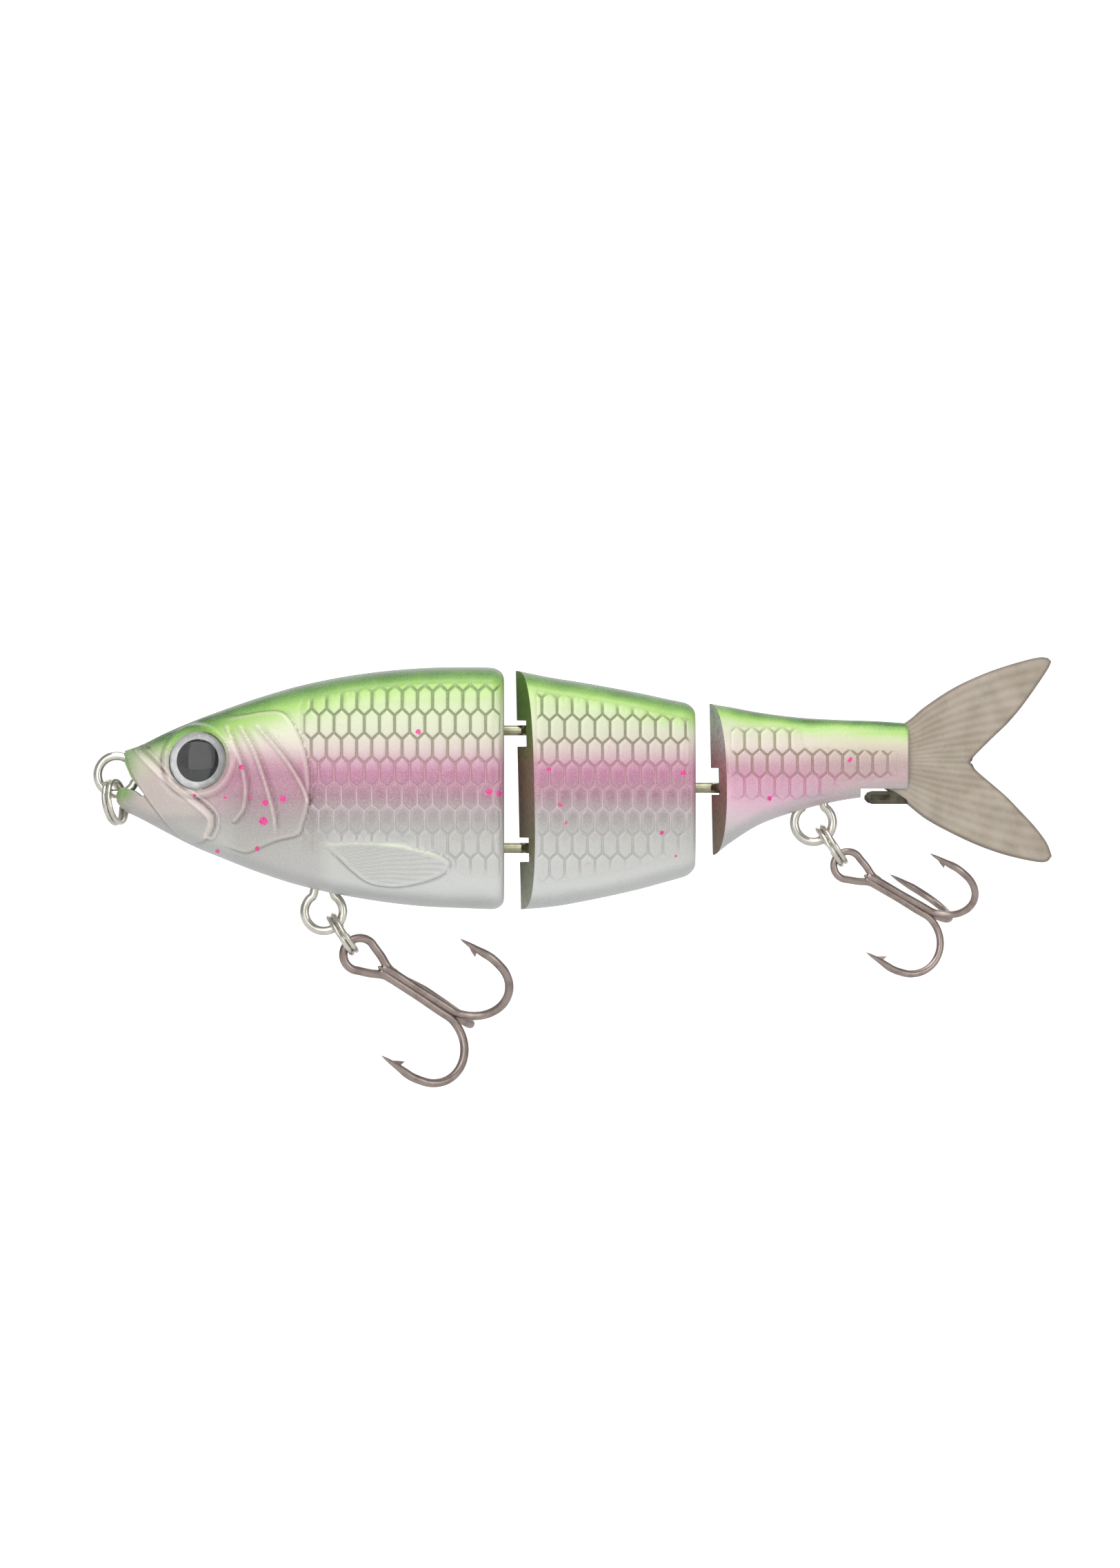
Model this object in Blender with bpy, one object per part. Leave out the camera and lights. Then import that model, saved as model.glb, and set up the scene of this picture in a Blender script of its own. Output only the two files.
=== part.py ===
"""Three-section jointed swimbait with a soft forked tail fin and two treble hooks.

Metres, +Z up. The nose points along -X, the left flank along -Y, and the origin is the centre of
the line-tie eye. Tables and dimensions below are in millimetres and are scaled once, by MM.
"""

from math import atan2, cos, degrees, pi, radians, sin, sqrt, tan

import bmesh
import bpy
import numpy as np
from mathutils import Matrix, Vector

MM = 0.001

# Overall sizes of the hard body
BODY_LENGTH = 136.5  # jaw tip to the end of the tail section
BODY_DEPTH = 41.6
BODY_WIDTH = 22.0

# Shells
WALL = 1.8
SEAM = 0.30  # gap between a left and a right half
CLEAR = 0.30  # gap round every piece that is seated in the shells
RIM = 2.2  # rounding of the rear rim of the head and of the middle section

# Hinges between the sections
HINGE_WIRE = 1.8
HINGE_PIN = 1.8
PIN_FIT = 0.08
EYE_PLAY = 0.40  # between a hinge eye and its pin
FLANK_FRONT = 15.0  # degrees that the middle section's nose falls back on each side
FLANK_REAR = 20.0

# Wire hangers and the line tie
WIRE = 1.55
LOOP = 3.3  # radius of a hanger's loop, to the middle of the wire

# Split rings
RING_OUTER = 8.2
RING_WIRE = 0.86
COIL_GAP = 0.10

# Treble hooks, for the belly hook. The tail hook is TAIL_HOOK_SCALE of it.
HOOK_WIRE = 1.45
HOOK_EYE = 2.85
HOOK_LENGTH = 25.2  # middle of the eye to the far end of the bend
HOOK_BEND = 6.7
HOOK_POINT = 11.5  # how far the points lie behind the eye
TAIL_HOOK_SCALE = 0.85

# Eyes
EYE_RADIUS = 4.95
EYE_DOME = 1.7

# Soft tail fin
FIN_THICK = 2.7
FIN_EDGE = 1.2

KX, KY, KZ = BODY_LENGTH / 136.5, BODY_WIDTH / 22.0, BODY_DEPTH / 41.6

# x, top, bottom, half width
BODY = (
    (1.4, 4.2, -6.3, 2.5),
    (4.0, 5.1, -7.5, 4.0),
    (8.5, 7.3, -9.9, 5.9),
    (13.2, 9.3, -12.3, 7.3),
    (18.0, 11.1, -14.3, 8.4),
    (25.0, 13.5, -17.0, 9.5),
    (32.0, 15.5, -19.2, 10.2),
    (42.0, 17.4, -21.3, 10.8),
    (52.0, 18.4, -22.6, 11.0),
    (60.0, 18.6, -23.0, 10.9),
    (67.0, 18.3, -23.2, 10.6),
    (75.0, 16.8, -22.7, 10.1),
    (80.0, 16.0, -21.9, 9.7),
    (89.4, 14.3, -19.9, 8.8),
    (95.0, 13.1, -18.4, 8.2),
    (101.0, 11.9, -16.7, 7.6),
)
TAIL = (
    (101.0, 12.6, -14.9, 7.4),
    (103.6, 12.1, -13.0, 6.9),
    (106.0, 11.7, -11.4, 6.4),
    (110.8, 10.8, -8.6, 5.6),
    (117.9, 9.9, -6.1, 4.7),
    (125.0, 9.5, -4.4, 3.9),
    (131.0, 9.3, -3.6, 3.3),
    (137.0, 8.9, -3.1, 2.9),
)
JAW = (
    (0.0, -2.9, -4.7, 1.0),
    (0.6, -2.2, -5.5, 1.7),
    (2.2, -2.3, -6.4, 2.3),
    (6.0, -4.0, -8.0, 3.6),
)

HEAD_END = 66.8 * KX
MIDDLE_FRONT = 69.2 * KX
MIDDLE_END = 99.8 * KX
TAIL_FRONT = 102.5 * KX
TAIL_END = BODY_LENGTH
FRONT_PIN = Vector((MIDDLE_FRONT + 3.5, 0, 0))
REAR_PIN = Vector((TAIL_FRONT + 2.9, 0, 0))
FRONT_EYES = (7.7 * KZ, -12.6 * KZ)
REAR_EYE = -2.2 * KZ
FRONT_SLOTS = ((4.9 * KZ, 9.4 * KZ), (-15.0 * KZ, -10.8 * KZ))
REAR_SLOT = (-3.4 * KZ, 1.2 * KZ)
FRONT_SHANK = (HEAD_END - 8.0, HEAD_END + 3.0)  # the stretch of a shank that the head holds
REAR_SHANK = (MIDDLE_END - 7.5, MIDDLE_END + 3.0)
FRONT_ENDS = (-17.0 * KZ, 11.6 * KZ)  # the ends of the pins
REAR_ENDS = (-8.2 * KZ, 7.0 * KZ)
LEAN_LINE = 0.022  # how far the middle section's nose leans back for each mm down

EYE_RING = HINGE_PIN / 2 + EYE_PLAY + HINGE_WIRE / 2  # radius to the middle of the wire


def smooth_table(table: tuple, scales: tuple) -> tuple:
    """Returns the scaled x values, the columns and their slopes for a monotone cubic."""
    rows = np.array(table) * np.array(scales)
    x, y = rows[:, 0], rows[:, 1:]
    step = np.diff(x)[:, None]
    secant = np.diff(y, axis=0) / step
    slope = np.vstack([secant[:1], (secant[1:] + secant[:-1]) / 2, secant[-1:]])
    turn = secant[1:] * secant[:-1] <= 0
    slope[1:-1][turn] = 0
    return x, y, slope


def at(table: tuple, x: float) -> np.ndarray:
    """Top, bottom and half width of a scaled table at x."""
    xs, ys, slope = table
    i = int(np.clip(np.searchsorted(xs, x) - 1, 0, len(xs) - 2))
    h = xs[i + 1] - xs[i]
    t = (x - xs[i]) / h
    rise = ys[i + 1] - ys[i]
    first = slope[i] * h - rise
    last = rise - slope[i + 1] * h
    return ys[i] + rise * t + t * (1 - t) * (first * (1 - t) + last * t)


SCALES = (KX, KZ, KZ, KY)
BODY_LINES = smooth_table(BODY, SCALES)
TAIL_LINES = smooth_table(TAIL, SCALES)


def new_object(name: str, mesh: bmesh.types.BMesh) -> bpy.types.Object:
    """Links a named object that holds the bmesh, with its faces turned outward."""
    bmesh.ops.recalc_face_normals(mesh, faces=mesh.faces)
    data = bpy.data.meshes.new(name)
    mesh.to_mesh(data)
    mesh.free()
    obj = bpy.data.objects.new(name, data)
    bpy.context.scene.collection.objects.link(obj)
    return obj


def rings_object(name: str, rings: list, closed: bool = False) -> bpy.types.Object:
    """Skins closed rings of points, given in mm, and caps the two ends."""
    mesh = bmesh.new()
    loops = [[mesh.verts.new(Vector(p) * MM) for p in ring] for ring in rings]
    pairs = list(zip(loops, loops[1:])) + ([(loops[-1], loops[0])] if closed else [])
    for one, two in pairs:
        for k in range(len(one)):
            n = (k + 1) % len(one)
            mesh.faces.new((one[k], one[n], two[n], two[k]))
    if not closed:
        mesh.faces.new(loops[0])
        mesh.faces.new(loops[-1][::-1])
    return new_object(name, mesh)


def prism(name: str, outline: list, low: float, high: float, axis: int = 1) -> bpy.types.Object:
    """Extrudes an outline along one axis. Its two coordinates are the other axes, in order."""

    def point(pair, level):
        values = list(pair)
        values.insert(axis, level)
        return values

    return rings_object(name, [[point(p, low) for p in outline], [point(p, high) for p in outline]])


def box(name: str, low: tuple, high: tuple) -> bpy.types.Object:
    """An axis-aligned box between two corners."""
    corners = [(low[0], low[2]), (high[0], low[2]), (high[0], high[2]), (low[0], high[2])]
    return prism(name, corners, low[1], high[1])


def tube(name: str, path: list, radii, sides: int = 8, closed: bool = False, up=(0, 1, 0)):
    """Sweeps a round wire along a path. One radius, or one for each point of the path."""
    points = [Vector(p) for p in path]
    count = len(points)
    widths = [radii] * count if isinstance(radii, (int, float)) else list(radii)
    rings = []
    side = Vector(up)
    for i, p in enumerate(points):
        ahead = points[(i + 1) % count] if closed or i + 1 < count else p
        behind = points[i - 1] if closed or i else p
        along = (ahead - behind).normalized()
        side = (side - along * side.dot(along)).normalized()
        other = along.cross(side)
        turns = [2 * pi * (k + 0.5) / sides for k in range(sides)]
        rings.append([p + widths[i] * (side * cos(a) + other * sin(a)) for a in turns])
    return rings_object(name, rings, closed)


def rod(name: str, centre: tuple, radius: float, low: float, high: float, axis: int = 2, sides=20):
    """A cylinder along one axis, through the point that the other two coordinates give."""
    turns = [2 * pi * k / sides for k in range(sides)]
    outline = [(centre[0] + radius * cos(a), centre[1] + radius * sin(a)) for a in turns]
    return prism(name, outline, low, high, axis)


def revolve(name: str, profile: list, frame: Matrix, sides: int = 32) -> bpy.types.Object:
    """Turns (radius, height) points about the frame's Z, from a bottom centre to a top centre."""
    mesh = bmesh.new()
    loops = []
    for radius, height in profile:
        turns = [2 * pi * k / sides for k in range(sides)]
        ring = [frame @ Vector((radius * cos(a), radius * sin(a), height)) for a in turns]
        loops.append([mesh.verts.new(p * MM) for p in ring])
    for one, two in zip(loops, loops[1:]):
        for k in range(sides):
            n = (k + 1) % sides
            mesh.faces.new((one[k], one[n], two[n], two[k]))
    mesh.faces.new(loops[0][::-1])
    mesh.faces.new(loops[-1])
    return new_object(name, mesh)


def combine(obj: bpy.types.Object, tools: list, operation: str) -> bpy.types.Object:
    """Adds one exact Boolean for each tool, and keeps the tools out of the render."""
    for tool in tools:
        step = obj.modifiers.new(f"{operation.title()} {tool.name}", "BOOLEAN")
        step.operation, step.solver, step.object = operation, "EXACT", tool
        tool.hide_render, tool.display_type = True, "WIRE"
    return obj


def cut(obj: bpy.types.Object, *tools: bpy.types.Object) -> bpy.types.Object:
    return combine(obj, tools, "DIFFERENCE")


def join(obj: bpy.types.Object, *tools: bpy.types.Object) -> bpy.types.Object:
    return combine(obj, tools, "UNION")


# Half shells


def half_ring(
    x, lines, side, inset=0.0, lean=(0, 0), square=2.6, low=None, count=16, seam=SEAM / 2
) -> list:
    """Half of a body section, closed by the parting face. side is -1 for the left half."""
    top, bottom, half = at(lines, x)
    top, bottom, half = top - inset, bottom + inset, half - inset
    if low is not None:
        bottom = max(bottom, low)
    middle, tall = (top + bottom) / 2, (top - bottom) / 2
    ring = []
    for k in range(count + 1):
        angle = pi / 2 - pi * k / count
        c, s = abs(cos(angle)), sin(angle)
        reach = ((c / half) ** square + (abs(s) / tall) ** square) ** (-1 / square)
        y, z = max(c * reach, seam), middle + s * reach
        ring.append((x + lean[0] * y - lean[1] * z, side * y, z))
    return ring


def half_loft(name: str, xs: list, lines: tuple, side: int, **shape) -> bpy.types.Object:
    """A half body through sections at xs. shape holds functions of x, or plain values."""
    rings = []
    for x in xs:
        values = {k: v(x) if callable(v) else v for k, v in shape.items()}
        rings.append(half_ring(x, lines, side, **values))
    return rings_object(name, rings)


def spread(start: float, end: float, count: int) -> list:
    return list(np.linspace(start, end, count))


def rounded(end: float):
    """The inset that rounds a rear rim over the last RIM millimetres."""

    def inset(x: float) -> float:
        over = max(0.0, x - (end - RIM))
        return RIM * 0.8 * (1 - sqrt(max(0.0, 1 - (over / RIM) ** 2)))

    return inset


def rim_stations(end: float) -> list:
    return [end - RIM * (1 - sin(radians(a))) for a in (0, 35, 60, 78, 90)]


def fading_lean(front: float, flank: float, run: float):
    """The lean of a nose, back at the sides and at the foot, fading out over the run behind it."""

    def lean(x: float) -> tuple:
        fade = max(0.0, 1 - (x - front) / run)
        return fade * tan(radians(flank)), fade * LEAN_LINE

    return lean


def squareness(x: float) -> float:
    """Sections are rounder at the nose and fuller at the joint."""
    return float(np.interp(x, (0, 25 * KX, 60 * KX, 75 * KX, 100 * KX), (2.2, 2.4, 2.9, 3.0, 2.7)))


def cavity(name: str, start: float, end: float, lines: tuple, wall: float, low=None):
    """A hollow that crosses the parting plane, so that both halves share it."""
    xs = spread(start, end, 6)
    halves = []
    for side in (-1, 1):
        ring = [half_ring(x, lines, side, inset=wall, low=low, count=10) for x in xs]
        halves.append(ring)
    rings = [left + right[::-1] for left, right in zip(*halves)]
    return rings_object(name, rings)


# Wire forms in the mid-plane


def arc(centre, radius: float, start: float, end: float, count: int) -> list:
    """Points in the XZ plane, with angles in degrees from +X towards +Z."""
    turns = [radians(a) for a in np.linspace(start, end, count)]
    return [(centre[0] + radius * cos(a), 0.0, centre[2] + radius * sin(a)) for a in turns]


def hanger_path(loop, deep: float) -> list:
    """The loop of a belly hanger, with its two legs going up into the body."""
    x, _, z = loop
    left = [(x - 1.25, 0, z + deep), (x - 1.25, 0, z + 6.2), (x - 1.5, 0, z + 4.2)]
    right = [(2 * x - p[0], 0, p[2]) for p in left[::-1]]
    return left + arc(loop, LOOP, 125, 415, 22) + right


def tie_path(deep: float) -> list:
    """The line tie: its loop is at the origin and its legs run back into the nose."""
    high, low = 0.725 + WIRE / 2, 0.175 - WIRE / 2
    upper = [(deep, 0, high), (8.0, 0, high + 0.2), (4.6, 0, high + 0.75), (2.6, 0, high + 1.15)]
    lower = [(3.9, 0, low - 0.45), (5.8, 0, low - 0.15), (8.0, 0, low - 0.1), (deep, 0, low)]
    return upper + arc((0, 0, 0), LOOP, 62, 338, 22) + lower


def hinge_eye(name: str, pin: Vector, level: float, back: float) -> bpy.types.Object:
    """A screw eye that lies flat round its pin, with one straight shank that ends at x = back."""
    turns = [2 * pi * k / 22 for k in range(22)]
    ring = [(pin.x + EYE_RING * cos(a), EYE_RING * sin(a), level) for a in turns]
    eye = tube(name, ring, HINGE_WIRE / 2, 10, closed=True, up=(0, 0, 1))
    shank = [(pin.x - EYE_RING, 0, level), (back + 0.6, 0, level), (back, 0, level)]
    sizes = [HINGE_WIRE / 2, HINGE_WIRE / 2, HINGE_WIRE / 3]
    return join(eye, tube(f"{name} shank", shank, sizes, 12))


def split_ring(name: str, centre: Vector, along: Vector, across: Vector) -> bpy.types.Object:
    """Two closed coils that step over between their ends, on the side that across points to."""
    normal = along.cross(across).normalized()
    radius = (RING_OUTER - RING_WIRE) / 2
    step = RING_WIRE + COIL_GAP
    path = []
    turns = [*np.linspace(17, 343, 26), 350, 356, 364, 370, *np.linspace(377, 703, 26)]
    for turn in turns:
        a = radians(turn)
        shift = min(1.0, max(0.0, (turn - 346) / 28))
        level = (shift * shift * (3 - 2 * shift) - 0.5) * step
        path.append(centre + radius * (across * cos(a) + along * sin(a)) + normal * level)
    return tube(name, path, RING_WIRE / 2, 8, up=normal)


# Treble hooks


def hook_frame(fall: float, away: float) -> Matrix:
    """Local X along the shank, Y up in the plane of the eye, Z towards the third hook."""
    down = Vector((cos(radians(fall)), 0, -sin(radians(fall))))
    side = Vector((0, 1, 0))
    shank = down * cos(radians(away)) + side * sin(radians(away))
    third = side * cos(radians(away)) - down * sin(radians(away))
    plane = third.cross(shank)
    return Matrix((shank, plane, third)).transposed().to_4x4()


def treble(name: str, eye: Vector, fall: float, away: float, spin: float, size: float):
    """An eye, a brazed shank and three barbed hooks at a third of a turn."""
    turn = hook_frame(fall, away)

    def placed(points: list) -> list:
        return [(turn @ (Vector(p) * size)).to_3d() for p in points]

    wire, ring = HOOK_WIRE / 2, HOOK_EYE
    opening = [radians(a) for a in np.linspace(38, 322, 17)]
    loop = [(ring * cos(a), ring * sin(a), 0) for a in opening]
    neck = [(5.6, 0.78, 0), (4.3, 0.92, 0), (3.2, 1.50, 0)]
    path = neck + loop + [(p[0], -p[1], 0) for p in neck[::-1]]
    body = tube(name, placed(path), wire * size, 8, up=turn.to_3x3() @ Vector((0, 0, 1)))
    core = placed([(4.4, 0, 0), (11.0, 0, 0), (17.6, 0, 0)])
    tools = [tube(f"{name} core", core, 0.62 * wire * size, 8)]
    for number in range(3):
        angle = radians(spin + 90 + 120 * number)
        out = Vector((0, cos(angle), sin(angle)))
        points, widths = hook_arm(wire)
        arm = [Vector((u, 0, 0)) + out * r for u, r in points]
        sized = [w * size for w in widths]
        tools.append(tube(f"{name} arm {number}", placed(arm), sized, 8, up=turn.to_3x3() @ out))
        tools.append(barb(f"{name} barb {number}", placed, out, wire))
    for piece in (body, *tools):
        piece.location = eye * MM
    return join(body, *tools)


def hook_arm(wire: float) -> tuple:
    """(along, out) points and the wire's radius at each, from the shank to the point."""
    start, centre = 0.62, HOOK_LENGTH - HOOK_BEND
    points = [(4.6, 0.42), (6.5, start), (centre - 3.5, start), (centre - 1.2, start + 0.12)]
    turns = [radians(a) for a in np.linspace(-80, 72, 13)]
    points += [
        (centre + HOOK_BEND * cos(a), start + HOOK_BEND * (1 + sin(a)) + 0.02) for a in turns
    ]
    top = start + 2 * HOOK_BEND
    points += [(centre - 0.6, top + 0.25), (HOOK_POINT + 3.6, top + 0.1), (HOOK_POINT, top)]
    widths = [wire * 0.86] + [wire] * (len(points) - 4) + [wire * 0.98, wire * 0.78, 0.06]
    return points, widths


def barb(name: str, placed, out: Vector, wire: float) -> bpy.types.Object:
    """A small spur on the inner side of a point."""
    top = 0.62 + 2 * HOOK_BEND
    side = Vector((1, 0, 0)).cross(out)
    base = HOOK_POINT + 3.9
    keel = [(base, top - 0.15), (base + 1.9, top - 0.05), (base + 0.9, top - wire - 0.75)]
    rings = []
    for offset in (-0.28, 0.28):
        rings.append(placed([Vector((u, 0, 0)) + out * r + side * offset for u, r in keel]))
    return rings_object(name, rings)


# Layout of the hanging hardware


def below(lines: tuple, x: float, drop: float) -> Vector:
    return Vector((x, 0, at(lines, x)[1] - drop))


BELLY_LOOP = below(BODY_LINES, 35.7 * KX, 3.5)
TAIL_LOOP = below(TAIL_LINES, 120.2 * KX, 2.75)


def hang(loop: Vector, fall: float, reach: float, twist: float) -> tuple:
    """Ring centre, ring direction, middle of its lower wire, hook eye and hanger wire."""
    line = Vector((cos(radians(fall)), 0, -sin(radians(fall))))
    ring = Vector((cos(radians(fall + twist)), 0, -sin(radians(fall + twist))))
    radius = (RING_OUTER - RING_WIRE) / 2
    centre = loop + line * (1.38 + radius)
    return centre, ring, centre + ring * radius, loop + line * reach, loop + line * LOOP


BELLY = hang(BELLY_LOOP, 50.0, 9.6, 7.0)
REAR = hang(TAIL_LOOP, 51.5, 9.45, 5.0)
SIDE = Vector((0, 1, 0))


# Eyes


def eye_frame(side: int) -> Matrix:
    """The seat of an eye: Z points out of the head."""
    x, z = 14.4 * KX, 2.4 * KZ
    half = at(BODY_LINES, x)[2]
    out = Vector((-0.19, side * 0.97, 0.10)).normalized()
    turn = out.to_track_quat("Z", "Y").to_matrix().to_4x4()
    return Matrix.Translation((x, side * (half - 1.55), z)) @ turn


def eye_pieces(side: int, word: str) -> list:
    """The clear domed lens over its printed disc."""
    frame = eye_frame(side)
    r, gap = EYE_RADIUS, 0.12
    disc = revolve(f"eye_disc_{word}", [(r - 0.15, gap), (r - 0.15, gap + 0.3)], frame, 32)
    base = 2 * gap + 0.3
    dome = [(r, base), (r, base + 0.35)]
    for a in (25, 45, 62, 76, 86):
        rise = EYE_DOME * sin(radians(a))
        dome.append((r * cos(radians(a)), base + 0.35 + rise))
    return [disc, revolve(f"eye_lens_{word}", dome, frame, 32)]


# Sections


def head_shell(side: int, word: str, tools: dict) -> bpy.types.Object:
    xs = [1.4, 2.6, 4.4, 6.8, 10, 14, 18, 22, 27, 33, 40, 48, 56, 61]
    stations = [x * KX for x in xs] + rim_stations(HEAD_END)
    inset = rounded(HEAD_END)
    name = f"head_shell_{word}"
    shell = half_loft(name, stations, BODY_LINES, side, inset=inset, square=squareness)
    frame = eye_frame(side)
    rim = EYE_RADIUS + 0.95
    boss = [(rim + 0.1, -3.0), (rim, 0.5), (rim - 0.3, 0.95), (rim - 0.7, 1.0)]
    pit = [(EYE_RADIUS + 0.12, 0.0), (EYE_RADIUS + 0.12, 6.0)]
    socket = revolve(f"socket {word}", pit, frame, 32)
    join(shell, revolve(f"socket rim {word}", boss, frame, 32), jaw(side, word))
    return cut(shell, socket, *tools["head"])


def jaw(side: int, word: str) -> bpy.types.Object:
    """The tip of the lower jaw, which stands out past the upper one."""
    lines = smooth_table(JAW, SCALES)
    stations = [x * KX for x in (0.0, 0.25, 0.6, 1.3, 2.2, 4.0, 6.0)]
    return half_loft(f"jaw {word}", stations, lines, side, seam=SEAM / 2 + 0.02)


def middle_shell(side: int, word: str, tools: dict) -> bpy.types.Object:
    front = [MIDDLE_FRONT + x for x in (0, 2, 4.5, 8, 12, 17, 22, 26)]
    inner = [x for x in front if x < MIDDLE_END - RIM - 1]
    lean = fading_lean(MIDDLE_FRONT, FLANK_FRONT, 11.0)
    shell = half_loft(
        f"middle_shell_{word}",
        inner + rim_stations(MIDDLE_END),
        BODY_LINES,
        side,
        inset=rounded(MIDDLE_END),
        lean=lean,
        square=squareness,
    )
    return cut(shell, *tools["middle"])


def tail_shell(side: int, word: str, tools: dict) -> bpy.types.Object:
    xs = [TAIL_FRONT + x for x in (0, 1.6, 3.5, 6, 9, 13, 17, 22, 27)]
    stations = [x for x in xs if x < TAIL_END - 4] + [TAIL_END - 2.6, TAIL_END - 0.9, TAIL_END]
    lean = fading_lean(TAIL_FRONT, FLANK_REAR, 9.0)
    name = f"tail_shell_{word}"

    def inset(x: float) -> float:
        return 0.4 * max(0.0, x - (TAIL_END - 0.9))

    shell = half_loft(name, stations, TAIL_LINES, side, inset=inset, lean=lean, square=2.3)
    reach = sorted((side * SEAM / 2, side * 2.4))
    peg = rod(f"fin peg {word}", FIN_PEG, 0.8, *reach, axis=1, sides=12)
    cut(shell, *tools["tail"])
    return join(shell, peg)


FIN_PEG = (TAIL_END - 3.7, 3.0 * KZ)


def hinge_slot(name: str, pin: Vector, level: tuple, front: float, wide: float) -> bpy.types.Object:
    """The pocket in a nose that a hinge eye turns in, between two levels."""
    back = pin.x + EYE_RING + HINGE_WIRE / 2 + 0.5
    return box(name, (front - 6, -wide, level[0]), (back, wide, level[1]))


def wire_channel(name: str, path: list, radius: float, up=(0, 1, 0)) -> bpy.types.Object:
    return tube(name, path, radius + CLEAR, 10, up=up)


def cutters() -> dict:
    """What is cut from each pair of half shells."""
    mouth = [
        (-3.0, 3.2), (1.25, 2.6), (1.5, 1.9), (2.5, -0.3), (3.4, -1.4),
        (4.9, -3.4), (4.4, -3.7), (3.2, -2.75), (2.0, -2.35), (-3.0, -1.2),
    ]
    tang = FIN_THICK / 2 + CLEAR
    shank = HINGE_WIRE / 2
    head = [
        prism("mouth", [(x * KX, z * KZ) for x, z in mouth], -6, 6),
        cavity("head hollow", 23 * KX, 57 * KX, BODY_LINES, WALL, low=-8.5 * KZ),
        cavity("belly hollow", 42 * KX, 56 * KX, BODY_LINES, WALL + 0.3),
        wire_channel("tie channel", tie_path(12.4), WIRE / 2),
        wire_channel("belly channel", hanger_path(BELLY_LOOP, 11.0), WIRE / 2),
    ]
    middle = [
        cavity("middle hollow", FRONT_PIN.x + 5.6, MIDDLE_END - 8.5, BODY_LINES, WALL),
        rod("front bore", FRONT_PIN.xy, HINGE_PIN / 2 + PIN_FIT, *longer(FRONT_ENDS, 0.2)),
        wire_channel("rear eye channel", shank_line(REAR_SHANK, REAR_EYE), shank),
    ]
    for level, (low, high) in zip(FRONT_EYES, FRONT_SLOTS):
        head.append(wire_channel(f"eye channel {level:.1f}", shank_line(FRONT_SHANK, level), shank))
        middle.append(hinge_slot(f"slot {level:.1f}", FRONT_PIN, (low, high), MIDDLE_FRONT, 6.0))
    tail = [
        cavity("tail hollow", REAR_PIN.x + 5.0, TAIL_END - 10.5, TAIL_LINES, 1.5, low=1.4 * KZ),
        rod("rear bore", REAR_PIN.xy, HINGE_PIN / 2 + PIN_FIT, *longer(REAR_ENDS, 0.2)),
        hinge_slot("rear slot", REAR_PIN, REAR_SLOT, TAIL_FRONT, 3.9),
        wire_channel("tail channel", hanger_path(TAIL_LOOP, 8.6), WIRE / 2),
        box("fin slot", (TAIL_END - 7.4, -tang, -1.6 * KZ), (TAIL_END + 4, tang, 7.4 * KZ)),
        box("keeper notch", (TAIL_END - 8.2, -8, -9 * KZ), (TAIL_END + 4, 8, -2.35 * KZ)),
    ]
    return {"head": head, "middle": middle, "tail": tail}


def shank_line(ends: tuple, level: float) -> list:
    return [(ends[0] - CLEAR, 0, level), (ends[1], 0, level)]


def longer(ends: tuple, more: float) -> tuple:
    return ends[0] - more, ends[1] + more


# Tail fin


def fin_outline() -> list:
    """The blade, from the shell's end round the upper lobe, the fork and the lower lobe."""
    blade = [
        (135.6, 9.3), (137.2, 10.4), (139.4, 11.8), (141.7, 13.4), (144.1, 14.9), (146.5, 16.2),
        (148.9, 17.2), (151.2, 18.1), (153.6, 18.9), (156.0, 19.6), (158.4, 20.2), (160.4, 20.2),
        (161.3, 19.5), (160.6, 18.2), (158.4, 14.9), (156.0, 11.6), (153.6, 8.8), (151.2, 6.5),
        (148.9, 4.6), (147.2, 2.2), (148.9, 0.1), (151.2, -1.7), (153.6, -3.8), (156.0, -6.3),
        (158.4, -8.9), (160.4, -11.6), (161.4, -13.7), (160.9, -14.8), (158.4, -14.9),
        (156.0, -14.5), (153.6, -13.9), (151.2, -13.2), (148.9, -12.3), (146.5, -11.3),
        (144.1, -10.1), (141.7, -8.8), (139.4, -7.5), (137.2, -6.2), (135.4, -5.0),
    ]
    keeper = [(-6.3, -5.0), (-7.3, -4.5), (-7.6, -3.7), (-7.1, -2.9), (-6.3, -2.7), (0.4, -2.7)]
    tang = [(0.4, -1.3), (-6.9, -1.3), (-6.9, 7.1), (0.4, 7.1), (0.4, 8.4)]
    root = [(TAIL_END + x, z * KZ) for x, z in keeper + tang]
    return [(x * KX, z * KZ) for x, z in blade] + root


def tail_fin() -> bpy.types.Object:
    outline = fin_outline()

    def half(x: float) -> float:
        run = max(0.0, (x - TAIL_END) / (25 * KX))
        return (FIN_THICK + (FIN_EDGE - FIN_THICK) * min(1.0, run)) / 2

    rings = [[(x, side * half(x), z) for x, z in outline] for side in (-1, 1)]
    fin = rings_object("tail_fin", rings)
    hole = rod("fin hole", FIN_PEG, 1.1, -3, 3, axis=1, sides=16)
    pockets = []
    for side in (-1, 1):
        low, high = sorted((side * 0.35, side * 3))
        corner, other = (TAIL_END - 6.5, low, -4.3 * KZ), (TAIL_END - 3.2, high, -3.3 * KZ)
        pockets.append(box(f"keeper slot {side}", corner, other))
    return cut(fin, hole, *pockets)


def ballast(name: str, start: float, end: float, radius: float) -> bpy.types.Object:
    """A round-ended weight that follows the floor of a hollow."""
    ends = [start, start + 0.6, start + 1.6, end - 1.6, end - 0.6, end]
    floor = [at(BODY_LINES, x)[1] + WALL + 1.2 + radius for x in ends]
    sizes = [0.55, 0.85, 1.0, 1.0, 0.85, 0.55]
    path = [(x, 0, z) for x, z in zip(ends, floor)]
    return tube(name, path, [radius * s for s in sizes], 16)


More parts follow.
